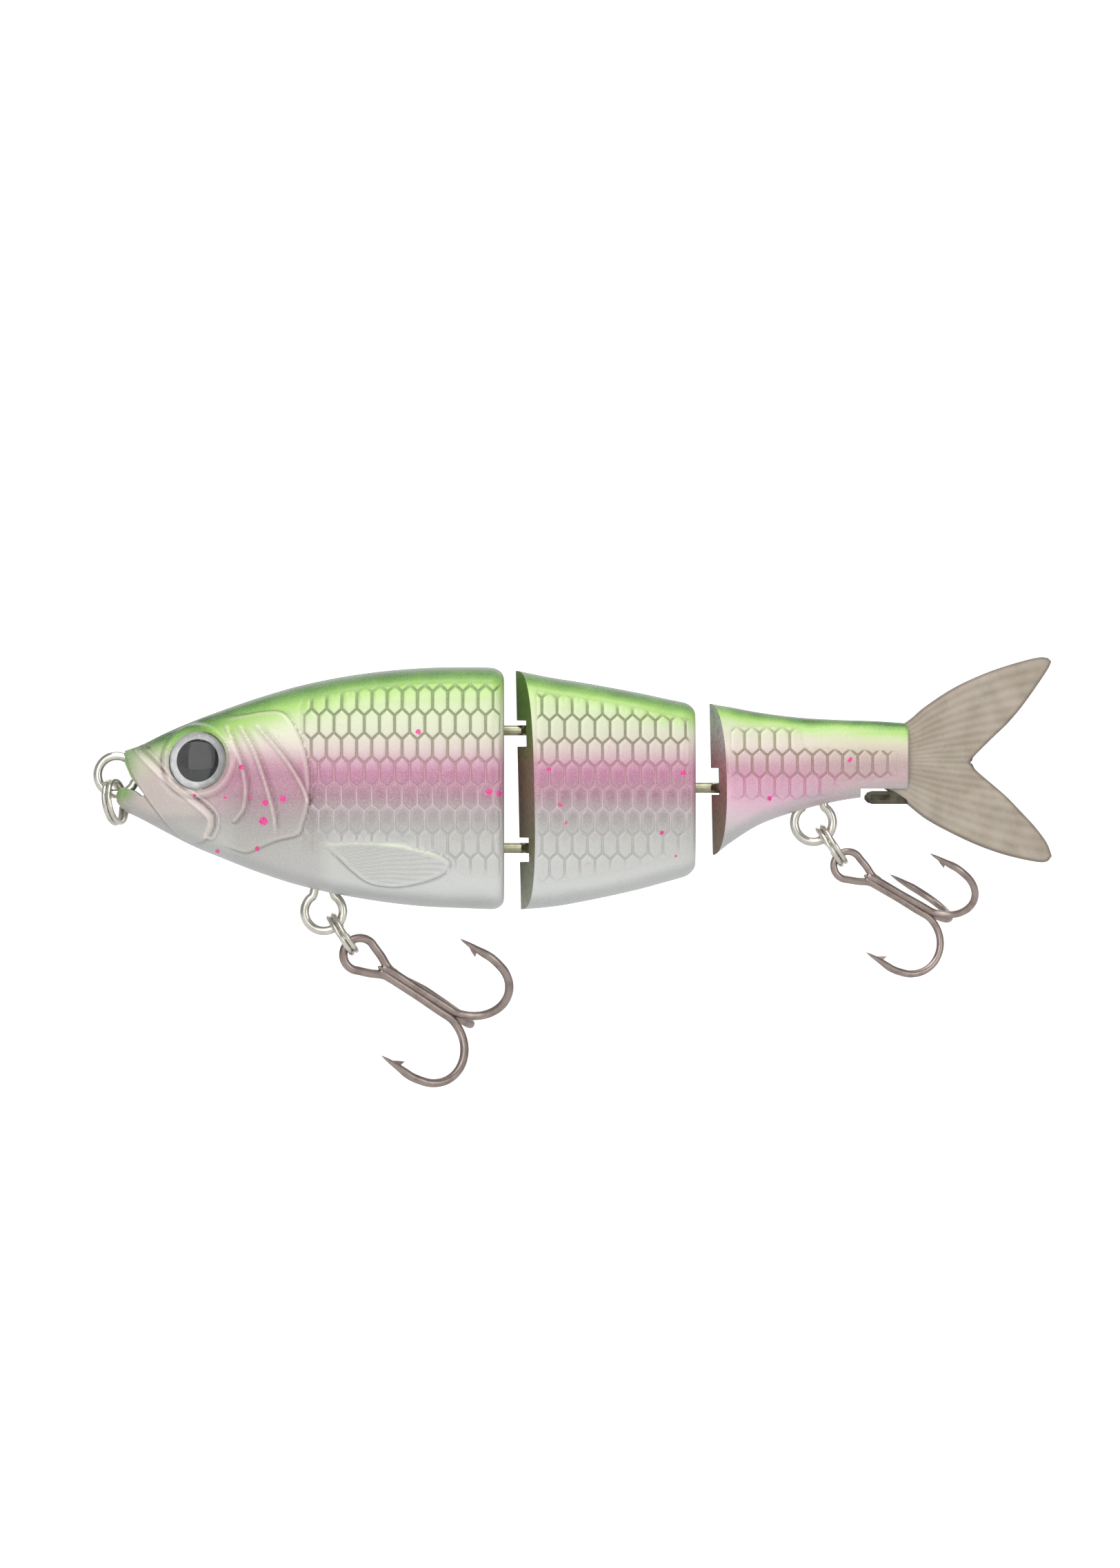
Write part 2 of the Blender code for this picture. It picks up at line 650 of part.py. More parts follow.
# Finishes, as (base colour, metallic, roughness)
FINISHES = {
    "shell": ((0.78, 0.80, 0.76, 1), 0.2, 0.3),
    "steel": ((0.72, 0.72, 0.70, 1), 1.0, 0.25),
    "hook": ((0.30, 0.28, 0.27, 1), 1.0, 0.3),
    "clear": ((0.85, 0.87, 0.88, 1), 0.0, 0.05),
    "disc": ((0.05, 0.05, 0.06, 1), 0.3, 0.35),
    "soft": ((0.45, 0.40, 0.35, 1), 0.0, 0.5),
    "lead": ((0.30, 0.30, 0.32, 1), 0.6, 0.6),
}


def finish(obj: bpy.types.Object, kind: str, origin=(0, 0, 0)) -> None:
    """Gives an object its own material, smooth shading and an origin on its joint's axis."""
    colour, metallic, roughness = FINISHES[kind]
    material = bpy.data.materials.new(f"{obj.name} finish")
    material.use_nodes = True
    shader = material.node_tree.nodes["Principled BSDF"]
    shader.inputs["Base Color"].default_value = colour
    shader.inputs["Metallic"].default_value = metallic
    shader.inputs["Roughness"].default_value = roughness
    obj.data.materials.append(material)
    shift = Vector(origin) * MM
    obj.data.transform(Matrix.Translation(obj.location - shift))
    obj.location = shift
    obj.data.shade_smooth()
    obj.data.set_sharp_from_angle(angle=radians(35))


def build() -> None:
    tools = cutters()
    for side, word in ((-1, "left"), (1, "right")):
        finish(head_shell(side, word, tools), "shell")
        finish(middle_shell(side, word, tools), "shell", FRONT_PIN)
        finish(tail_shell(side, word, tools), "shell", REAR_PIN)
        disc, lens = eye_pieces(side, word)
        finish(disc, "disc")
        finish(lens, "clear")

    finish(tube("line_tie", tie_path(12.0), WIRE / 2, 10), "steel")
    finish(tube("belly_hanger", hanger_path(BELLY_LOOP, 10.6), WIRE / 2, 10), "steel")
    finish(tube("tail_hanger", hanger_path(TAIL_LOOP, 8.2), WIRE / 2, 10), "steel", REAR_PIN)

    for word, level in zip(("upper", "lower"), FRONT_EYES):
        eye = hinge_eye(f"front_hinge_eye_{word}", FRONT_PIN, level, FRONT_SHANK[0])
        finish(eye, "steel")
    finish(hinge_eye("rear_hinge_eye", REAR_PIN, REAR_EYE, REAR_SHANK[0]), "steel", FRONT_PIN)
    pin = rod("front_hinge_pin", FRONT_PIN.xy, HINGE_PIN / 2, *FRONT_ENDS)
    finish(pin, "steel", FRONT_PIN)
    pin = rod("rear_hinge_pin", REAR_PIN.xy, HINGE_PIN / 2, *REAR_ENDS)
    finish(pin, "steel", REAR_PIN)

    along = Vector((0.155, 0, -0.988)).normalized()
    across = Vector((sin(radians(20)), cos(radians(20)), 0))
    across = (across - along * across.dot(along)).normalized()
    radius = (RING_OUTER - RING_WIRE) / 2
    centre = Vector((-0.86, 0, -1.0)) + along * radius
    finish(split_ring("line_tie_ring", centre, along, across), "steel")
    for word, chain in (("belly", BELLY), ("tail", REAR)):
        centre, ring, lower, eye, wire = chain
        finish(split_ring(f"{word}_split_ring", centre, ring, SIDE), "steel", wire)
        lie = (33.5, 15.0, 2.0, 1.0) if word == "belly" else (30.3, 10.0, 12.0, TAIL_HOOK_SCALE)
        finish(treble(f"{word}_treble_hook", eye, *lie), "hook", lower)

    finish(tail_fin(), "soft", (TAIL_END, 0, 0))
    finish(ballast("head_ballast", 43.5 * KX, 54.5 * KX, 3.1), "lead")
    finish(ballast("middle_ballast", FRONT_PIN.x + 6.4, MIDDLE_END - 9.4, 2.6), "lead", FRONT_PIN)


for existing in list(bpy.data.objects):
    bpy.data.objects.remove(existing)
build()
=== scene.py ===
"""A jointed swimbait with a soft forked tail fin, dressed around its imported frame.

Lengths in this file are in metres unless a name says MM, in which case MM turns them into metres.
"""

import logging
from dataclasses import dataclass, field
from enum import Enum
from math import cos, pi, radians, sin, tan
from typing import Callable, Optional, Union

import bpy
import numpy as np
from mathutils import Matrix, Vector


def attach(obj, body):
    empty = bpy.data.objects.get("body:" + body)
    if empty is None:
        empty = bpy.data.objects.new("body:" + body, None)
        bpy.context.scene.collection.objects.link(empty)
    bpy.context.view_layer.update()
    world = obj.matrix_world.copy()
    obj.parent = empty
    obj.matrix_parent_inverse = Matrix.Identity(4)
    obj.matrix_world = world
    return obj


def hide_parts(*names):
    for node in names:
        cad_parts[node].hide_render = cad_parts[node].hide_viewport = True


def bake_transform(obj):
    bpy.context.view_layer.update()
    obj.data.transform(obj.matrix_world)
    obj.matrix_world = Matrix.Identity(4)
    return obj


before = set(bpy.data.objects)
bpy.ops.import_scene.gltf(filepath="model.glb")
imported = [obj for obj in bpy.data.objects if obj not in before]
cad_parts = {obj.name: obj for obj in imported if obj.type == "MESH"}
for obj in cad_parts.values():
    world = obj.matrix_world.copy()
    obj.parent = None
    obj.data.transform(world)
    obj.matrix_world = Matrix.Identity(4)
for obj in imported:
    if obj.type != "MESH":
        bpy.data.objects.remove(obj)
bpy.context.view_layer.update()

MM = 0.001
FRONT_PIN, REAR_PIN = 72.7, 105.4  # where the hinge pins stand, in millimetres
LOG = logging.getLogger("swimbait")

Points = list[tuple[float, ...]]
Corner = tuple[float, float, float]
Number = Union[float, "Signal"]
Colour = tuple[float, float, float]


class Side(Enum):
    """The two flanks of the fish."""

    LEFT = -1
    RIGHT = 1

    @property
    def word(self) -> str:
        """The side's name as the nodes spell it."""
        return self.name.lower()


class Boolean(Enum):
    """What a tool does to a piece."""

    ADD = "UNION"
    CUT = "DIFFERENCE"


# ---------------------------------------------------------------- numbers and shapes


def ease(value: np.ndarray, start: float, end: float) -> np.ndarray:
    """A smooth step from 0 at start to 1 at end."""
    t = np.clip((value - start) / (end - start), 0, 1)
    return t * t * (3 - 2 * t)


def bump(distance: np.ndarray, width: float) -> np.ndarray:
    """A bell that is 1 at distance 0."""
    return np.exp(-((distance / width) ** 2))


def along_line(x: np.ndarray, z: np.ndarray, line: Points) -> tuple[np.ndarray, np.ndarray]:
    """Measures points against a polyline.

    Args:
        x: The points' x.
        z: The points' z.
        line: The polyline's corners.

    Returns:
        The distance, and the same with a sign, positive on the right of the line's direction.
    """
    best = np.full(x.shape, 1e9)
    signed = np.full(x.shape, 1e9)
    for (x0, z0), (x1, z1) in zip(line, line[1:]):
        dx, dz = x1 - x0, z1 - z0
        t = np.clip(((x - x0) * dx + (z - z0) * dz) / (dx * dx + dz * dz), 0, 1)
        px, pz = x - (x0 + t * dx), z - (z0 + t * dz)
        distance = np.hypot(px, pz)
        nearer = distance < best
        best = np.where(nearer, distance, best)
        signed = np.where(nearer, np.sign(px * dz - pz * dx) * distance, signed)
    return best, signed


def outside(x: np.ndarray, z: np.ndarray, outline: Points) -> np.ndarray:
    """The distance to a closed outline, negative inside it.

    Args:
        x: The points' x.
        z: The points' z.
        outline: The outline's corners.

    Returns:
        The distance of each point.
    """
    distance, _ = along_line(x, z, [*outline, outline[0]])
    inside = np.zeros(x.shape, bool)
    for (x0, z0), (x1, z1) in zip(outline, [*outline[1:], outline[0]]):
        if z0 == z1:
            continue
        crosses = ((z0 > z) != (z1 > z)) & (x < (x1 - x0) * (z - z0) / (z1 - z0) + x0)
        inside ^= crosses
    return np.where(inside, -distance, distance)


def rounded_line(line: Points, count: int) -> np.ndarray:
    """Points evenly spaced on a smooth curve through the given ones.

    Args:
        line: The points to go through.
        count: How many points to return.

    Returns:
        The points, one a row.
    """
    points = np.array(line, float)
    start, end = 2 * points[0] - points[1], 2 * points[-1] - points[-2]
    padded = np.vstack([start, points, end])
    fine = []
    for a, b, c, d in zip(padded, padded[1:], padded[2:], padded[3:]):
        for t in np.linspace(0, 1, 16, endpoint=False):
            fine.append(
                0.5 * (2 * b + (c - a) * t + (2 * a - 5 * b + 4 * c - d) * t**2
                       + (3 * b - a - 3 * c + d) * t**3)
            )
    fine = np.vstack([*fine, points[-1]])
    steps = np.r_[0, np.cumsum(np.linalg.norm(np.diff(fine, axis=0), axis=1))]
    wanted = np.linspace(0, steps[-1], count)
    return np.column_stack([np.interp(wanted, steps, column) for column in fine.T])


@dataclass(frozen=True)
class BodyLine:
    """The outline of a stretch of the body, in millimetres.

    Attributes:
        rows: (x, top, bottom, half width) at each station.
    """

    rows: tuple[tuple[float, float, float, float], ...]

    def at(self, x: np.ndarray) -> tuple[np.ndarray, np.ndarray, np.ndarray]:
        """Top, bottom and half width at x.

        Args:
            x: Where to measure.

        Returns:
            The three, in millimetres.
        """
        table = np.array(self.rows)
        xs, ys = table[:, 0], table[:, 1:]
        secant = np.diff(ys, axis=0) / np.diff(xs)[:, None]
        slope = np.vstack([secant[:1], (secant[1:] + secant[:-1]) / 2, secant[-1:]])
        slope[1:-1][secant[1:] * secant[:-1] <= 0] = 0
        i = np.clip(np.searchsorted(xs, x) - 1, 0, len(xs) - 2)
        h = (xs[i + 1] - xs[i])[..., None]
        t = (np.asarray(x) - xs[i])[..., None] / h
        rise = ys[i + 1] - ys[i]
        first, last = slope[i] * h - rise, rise - slope[i + 1] * h
        out = ys[i] + rise * t + t * (1 - t) * (first * (1 - t) + last * t)
        return out[..., 0], out[..., 1], out[..., 2]


BODY = BodyLine((
    (1.4, 4.2, -6.3, 2.5), (4.0, 5.1, -7.5, 4.0), (8.5, 7.3, -9.9, 5.9), (13.2, 9.3, -12.3, 7.3),
    (18.0, 11.1, -14.3, 8.4), (25.0, 13.5, -17.0, 9.5), (32.0, 15.5, -19.2, 10.2),
    (42.0, 17.4, -21.3, 10.8), (52.0, 18.4, -22.6, 11.0), (60.0, 18.6, -23.0, 10.9),
    (67.0, 18.3, -23.2, 10.6), (75.0, 16.8, -22.7, 10.1), (80.0, 16.0, -21.9, 9.7),
    (89.4, 14.3, -19.9, 8.8), (95.0, 13.1, -18.4, 8.2), (101.0, 11.9, -16.7, 7.6),
))
STERN = BodyLine((
    (101.0, 12.6, -14.9, 7.4), (103.6, 12.1, -13.0, 6.9), (106.0, 11.7, -11.4, 6.4),
    (110.8, 10.8, -8.6, 5.6), (117.9, 9.9, -6.1, 4.7), (125.0, 9.5, -4.4, 3.9),
    (131.0, 9.3, -3.6, 3.3), (137.0, 8.9, -3.1, 2.9),
))
JAW = BodyLine((
    (0.0, -2.9, -4.7, 1.0), (0.6, -2.2, -5.5, 1.7), (2.2, -2.3, -6.4, 2.3), (6.0, -4.0, -8.0, 3.6),
))


# ---------------------------------------------------------------- modelling steps


def read_points(piece: bpy.types.Object) -> np.ndarray:
    """A piece's vertices as rows of x, y and z.

    Args:
        piece: The piece.

    Returns:
        The rows.
    """
    points = np.empty(len(piece.data.vertices) * 3)
    piece.data.vertices.foreach_get("co", points)
    return points.reshape(-1, 3)


def write_points(piece: bpy.types.Object, points: np.ndarray) -> None:
    """Moves a piece's vertices to these rows of x, y and z."""
    piece.data.vertices.foreach_set("co", np.ascontiguousarray(points).ravel())
    piece.data.update()


def write_attribute(piece: bpy.types.Object, name: str, values: np.ndarray) -> None:
    """Stores one number for each vertex under a name that a finish can read."""
    layer = piece.data.attributes.new(name, "FLOAT", "POINT")
    layer.data.foreach_set("value", np.asarray(values, np.float32).ravel())


class Bench:
    """The modelling steps that the pieces share."""

    @staticmethod
    def clear() -> None:
        """Leaves nothing selected."""
        if bpy.context.mode != "OBJECT":
            bpy.ops.object.mode_set(mode="OBJECT")
        bpy.ops.object.select_all(action="DESELECT")

    @staticmethod
    def take(piece: bpy.types.Object) -> None:
        """Makes one piece the only selected and the active one.

        Args:
            piece: The piece.
        """
        Bench.clear()
        piece.select_set(True)
        bpy.context.view_layer.objects.active = piece

    @staticmethod
    def name(word: str) -> bpy.types.Object:
        """Names the piece that was just added, and returns it.

        Args:
            word: The name.

        Returns:
            The piece.
        """
        piece = bpy.context.active_object
        piece.name = piece.data.name = word
        return piece

    @staticmethod
    def open_mesh(action: str = "SELECT") -> None:
        """Opens the active piece's mesh with all of it selected, or with none."""
        bpy.ops.object.mode_set(mode="EDIT")
        bpy.ops.mesh.select_all(action=action)

    @staticmethod
    def close_mesh() -> None:
        """Turns every face of the open mesh outward and closes it."""
        bpy.ops.mesh.select_all(action="SELECT")
        bpy.ops.mesh.normals_make_consistent(inside=False)
        bpy.ops.object.mode_set(mode="OBJECT")

    @staticmethod
    def grid(word: str, columns: int, rows: int) -> tuple[bpy.types.Object, np.ndarray, np.ndarray]:
        """Adds a flat grid, with each vertex's column and row number.

        Args:
            word: The piece's name.
            columns: Vertices along it.
            rows: Vertices across it.

        Returns:
            The piece, the columns and the rows.
        """
        Bench.clear()
        bpy.ops.mesh.primitive_grid_add(x_subdivisions=columns - 1, y_subdivisions=rows - 1, size=2)
        piece = Bench.name(word)
        share = (read_points(piece) + 1) / 2
        column = np.rint(share[:, 0] * (columns - 1)).astype(int)
        row = np.rint(share[:, 1] * (rows - 1)).astype(int)
        return piece, column, row

    @staticmethod
    def weld(piece: bpy.types.Object, within: float = 2e-6) -> None:
        """Merges vertices that meet and turns every face outward.

        Args:
            piece: The piece.
            within: How near vertices are to be merged, in metres.
        """
        Bench.take(piece)
        Bench.open_mesh()
        bpy.ops.mesh.remove_doubles(threshold=within)
        Bench.close_mesh()

    @staticmethod
    def fill_ends(piece: bpy.types.Object) -> None:
        """Closes each open loop of edges with one flat face.

        Args:
            piece: The piece.
        """
        Bench.take(piece)
        Bench.open_mesh("DESELECT")
        bpy.ops.mesh.select_mode(type="EDGE")
        bpy.ops.mesh.select_non_manifold(extend=False, use_wire=False, use_multi_face=False,
                                         use_non_contiguous=False, use_verts=False)
        bpy.ops.mesh.edge_face_add()
        bpy.ops.mesh.select_mode(type="VERT")
        Bench.close_mesh()

    @staticmethod
    def settle(piece: bpy.types.Object) -> None:
        """Puts a piece's place into its mesh."""
        Bench.take(piece)
        bpy.ops.object.transform_apply(location=True, rotation=True, scale=True)

    @staticmethod
    def smooth(piece: bpy.types.Object, angle: float = 40) -> bpy.types.Object:
        """Shades a piece smooth up to an angle in degrees.

        Args:
            piece: The piece.
            angle: The sharpest angle that still looks smooth.

        Returns:
            The piece.
        """
        Bench.take(piece)
        bpy.ops.object.shade_smooth_by_angle(angle=radians(angle))
        return piece

    @staticmethod
    def join(pieces: list[bpy.types.Object], word: str) -> bpy.types.Object:
        """Makes several pieces one, under a name.

        Args:
            pieces: The pieces, the first of which stays.
            word: The joined piece's name.

        Returns:
            The joined piece.
        """
        Bench.take(pieces[0])
        for piece in pieces[1:]:
            piece.select_set(True)
        bpy.ops.object.join()
        return Bench.name(word)

    @staticmethod
    def combine(piece: bpy.types.Object, tool: bpy.types.Object, operation: Boolean) -> None:
        """Cuts a tool from a piece or adds it, and then takes the tool away.

        Args:
            piece: The piece to work on.
            tool: The piece to cut with or to add.
            operation: Whether it is cut or added.
        """
        step = piece.modifiers.new("step", "BOOLEAN")
        step.operation, step.solver, step.object = operation.value, "EXACT", tool
        step.material_mode = "TRANSFER"
        Bench.take(piece)
        bpy.ops.object.modifier_apply(modifier=step.name)
        bpy.data.objects.remove(tool)

    @staticmethod
    def block(low: Corner, high: Corner) -> bpy.types.Object:
        """A box between two corners in millimetres, for cutting with.

        Args:
            low: Its lowest corner.
            high: Its highest corner.

        Returns:
            The box.
        """
        Bench.clear()
        middle = [(a + b) / 2 * MM for a, b in zip(low, high)]
        size = [(b - a) * MM for a, b in zip(low, high)]
        bpy.ops.mesh.primitive_cube_add(size=1, location=middle, scale=size)
        piece = Bench.name("block")
        Bench.settle(piece)
        return piece

    @staticmethod
    def cut_blocks(piece: bpy.types.Object, boxes: list[tuple[Corner, Corner]]) -> None:
        """Cuts boxes from a piece, one after the other."""
        for low, high in boxes:
            Bench.combine(piece, Bench.block(low, high), Boolean.CUT)

    @staticmethod
    def plate(outline: Points, low: float, high: float) -> bpy.types.Object:
        """An outline in x and z, in millimetres, extruded across from low to high.

        Args:
            outline: (x, z) of its corners.
            low: Where it starts across.
            high: Where it ends.

        Returns:
            The closed plate.
        """
        Bench.clear()
        bpy.ops.mesh.primitive_circle_add(vertices=len(outline), radius=1, fill_type="NGON")
        piece = Bench.name("plate")
        write_points(piece, np.array([(x, low, z) for x, z in outline]) * MM)
        Bench.open_mesh()
        move = {"value": (0, (high - low) * MM, 0)}
        bpy.ops.mesh.extrude_region_move(TRANSFORM_OT_translate=move)
        Bench.close_mesh()
        return piece

    @staticmethod
    def turned(word: str, profile: Points, seat: Matrix, sides: int = 64) -> bpy.types.Object:
        """A turned piece, extruded upward ring by ring.

        Args:
            word: The piece's name.
            profile: (radius, height) from the bottom to the top, in millimetres.
            seat: Where the turned piece's foot stands.
            sides: How many sides each ring has.

        Returns:
            The closed piece.
        """
        Bench.clear()
        radius, height = profile[0]
        bpy.ops.mesh.primitive_circle_add(
            vertices=sides, radius=radius * MM, fill_type="NGON", location=(0, 0, height * MM)
        )
        piece = Bench.name(word)
        Bench.settle(piece)
        Bench.open_mesh()
        for wide, high in profile[1:]:
            rise = {"value": (0, 0, (high - height) * MM)}
            bpy.ops.mesh.extrude_region_move(TRANSFORM_OT_translate=rise)
            grow = wide / radius
            bpy.ops.transform.resize(value=(grow, grow, 1), center_override=(0, 0, 0))
            radius, height = wide, high
        Bench.close_mesh()
        piece.data.transform(seat)
        return piece

    @staticmethod
    def wire(word: str, path: Points, radius: Union[float, list[float]], closed: bool = False,
             roundness: int = 6) -> bpy.types.Object:
        """A round wire along a path, in millimetres, with one radius or one for each point.

        Args:
            word: The piece's name.
            path: The wire's middle line.
            radius: The wire's radius.
            closed: Whether the ends meet.
            roundness: How finely it is rounded.

        Returns:
            The closed wire.
        """
        Bench.clear()
        bpy.ops.curve.primitive_bezier_curve_add()
        piece = Bench.name(word)
        line = piece.data
        line.splines.clear()
        spline = line.splines.new("POLY")
        spline.points.add(len(path) - 1)
        widths = [radius] * len(path) if isinstance(radius, (int, float)) else radius
        for point, place, width in zip(spline.points, path, widths):
            point.co = (*(c * MM for c in place), 1)
            point.radius = width
        spline.use_cyclic_u = closed
        line.dimensions = "3D"
        line.twist_mode = "MINIMUM"
        line.bevel_depth = MM
        line.bevel_resolution = roundness
        line.use_fill_caps = not closed
        bpy.ops.object.convert(target="MESH")
        piece = Bench.name(word)
        Bench.settle(piece)
        Bench.weld(piece)
        return piece


def arc(centre: tuple[float, float], radius: float, start: float, end: float, count: int) -> Points:
    """Points in the XZ plane at angles in degrees, from +X towards +Z."""
    turns = np.radians(np.linspace(start, end, count))
    return [(centre[0] + radius * cos(a), 0.0, centre[1] + radius * sin(a)) for a in turns]


def curved(path: Points, count: int) -> Points:
    """A smooth path through a few points, for a wire or an outline."""
    return [tuple(p) for p in rounded_line(path, count)]


# ---------------------------------------------------------------- finishes


def tint(red: int, green: int, blue: int) -> Colour:
    """A colour mixed on a screen, as the shader wants it."""
    values = [c / 255 for c in (red, green, blue)]
    return tuple(v / 12.92 if v <= 0.04045 else ((v + 0.055) / 1.055) ** 2.4 for v in values)


class Signal:
    """A shader socket that can be used in ordinary arithmetic."""

    def __init__(self, recipe: "Recipe", socket: bpy.types.NodeSocket) -> None:
        """Wraps a socket of one recipe."""
        self.recipe = recipe
        self.socket = socket

    def _math(self, operation: str, first: Number, second: Number = 0.0) -> "Signal":
        """Adds one Math node."""
        return self.recipe.node("ShaderNodeMath", {"operation": operation}, {0: first, 1: second})

    def __add__(self, other: Number) -> "Signal":
        """self + other."""
        return self._math("ADD", self, other)

    def __radd__(self, other: Number) -> "Signal":
        """other + self."""
        return self._math("ADD", other, self)

    def __sub__(self, other: Number) -> "Signal":
        """self - other."""
        return self._math("SUBTRACT", self, other)

    def __rsub__(self, other: Number) -> "Signal":
        """other - self."""
        return self._math("SUBTRACT", other, self)

    def __mul__(self, other: Number) -> "Signal":
        """self * other."""
        return self._math("MULTIPLY", self, other)

    def __rmul__(self, other: Number) -> "Signal":
        """other * self."""
        return self._math("MULTIPLY", other, self)

    def __truediv__(self, other: Number) -> "Signal":
        """self / other."""
        return self._math("DIVIDE", self, other)

    def most(self, other: Number) -> "Signal":
        """The larger of the two."""
        return self._math("MAXIMUM", self, other)

    def step(self, start: float, end: float) -> "Signal":
        """A smooth step from 0 at start to 1 at end.

        Args:
            start: Where the step starts.
            end: Where it ends.

        Returns:
            The step.
        """
        settings = {"interpolation_type": "SMOOTHSTEP"}
        inputs = {"Value": self, "From Min": start, "From Max": end}
        return self.recipe.node("ShaderNodeMapRange", settings, inputs)


class Recipe:
    """A finish's node tree, around one Principled shader."""

    def __init__(self, name: str, **constants: Union[float, Colour]) -> None:
        """Starts a material.

        Args:
            name: The finish's name.
            **constants: Values of the shader's sockets, with spaces written as underscores.
        """
        self.material = bpy.data.materials.new(name)
        self.material.use_nodes = True
        self.tree = self.material.node_tree
        self.shader = self.tree.nodes["Principled BSDF"]
        for key, value in constants.items():
            socket = self.shader.inputs[key.replace("_", " ")]
            socket.default_value = (*value, 1) if isinstance(value, tuple) and len(value) == 3 else value

    def node(self, kind: str, settings: Optional[dict] = None, inputs: Optional[dict] = None,
             output: Union[int, str] = 0) -> Signal:
        """Adds any node.

        Args:
            kind: The node's type.
            settings: Its own settings. A ramp's stops are {"stops": [(place, colour), ...]}.
            inputs: Values or signals for its sockets, by name or number.
            output: The socket to return.

        Returns:
            The node's output.
        """
        made = self.tree.nodes.new(kind)
        for key, value in (settings or {}).items():
            if key == "stops":
                self._stops(made.color_ramp, value)
            else:
                setattr(made, key, value)
        for key, value in (inputs or {}).items():
            socket = made.inputs[key]
            if isinstance(value, Signal):
                self.tree.links.new(value.socket, socket)
            elif isinstance(value, tuple) and len(value) == 3 and socket.type == "RGBA":
                socket.default_value = (*value, 1)
            else:
                socket.default_value = value
        return Signal(self, made.outputs[output])

    @staticmethod
    def _stops(ramp: bpy.types.ColorRamp, stops: list[tuple[float, Colour]]) -> None:
        """Gives a ramp its stops.

        Args:
            ramp: The ramp.
            stops: (place, colour) of each stop.
        """
        while len(ramp.elements) > 1:
            ramp.elements.remove(ramp.elements[-1])
        for number, (place, colour) in enumerate(stops):
            element = ramp.elements[0] if number == 0 else ramp.elements.new(place)
            element.position = place
            element.color = (*colour, 1)

    def ramp(self, value: Signal, low: float, high: float, stops: list[tuple[float, Colour]]) -> Signal:
        """A colour ramp whose stops stand at values between low and high.

        Args:
            value: What to read.
            low: The value at the ramp's start.
            high: The value at its end.
            stops: (value, colour) of each stop.

        Returns:
            The colour.
        """
        scaled = [((place - low) / (high - low), colour) for place, colour in sorted(stops)]
        share = (value - low) / (high - low)
        return self.node("ShaderNodeValToRGB", {"stops": scaled}, {"Fac": share})

    def mix(self, share: Number, first: Union[Signal, Colour], second: Union[Signal, Colour],
            blend: str = "MIX") -> Signal:
        """Mixes two colours."""
        settings = {"data_type": "RGBA", "blend_type": blend}
        return self.node("ShaderNodeMix", settings, {0: share, 6: first, 7: second}, 2)

    def place(self) -> Signal:
        """The point's place on the object."""
        return self.node("ShaderNodeTexCoord", output="Object")

    def split(self) -> tuple[Signal, Signal, Signal]:
        """x, y and z in millimetres.

        Returns:
            The three.
        """
        parts = self.node("ShaderNodeSeparateXYZ", None, {0: self.place()})
        sockets = parts.socket.node.outputs
        return tuple(Signal(self, sockets[axis]) * 1000.0 for axis in "XYZ")

    def noise(self, scale: float, detail: float = 2.0, roughness: float = 0.5) -> Signal:
        """Noise that repeats about this many times a metre."""
        inputs = {"Vector": self.place(), "Scale": scale, "Detail": detail, "Roughness": roughness}
        return self.node("ShaderNodeTexNoise", None, inputs)

    def attribute(self, name: str) -> Signal:
        """A number stored on the mesh."""
        return self.node("ShaderNodeAttribute", {"attribute_name": name}, output="Fac")

    def relief(self, height: Signal, depth: float, strength: float = 1.0) -> None:
        """Bumps the surface by a height that runs from 0 to 1."""
        inputs = {"Height": height, "Distance": depth, "Strength": strength}
        self.feed("Normal", self.node("ShaderNodeBump", None, inputs))

    def feed(self, socket: str, signal: Signal) -> None:
        """Links a signal to the shader."""
        self.tree.links.new(signal.socket, self.shader.inputs[socket])


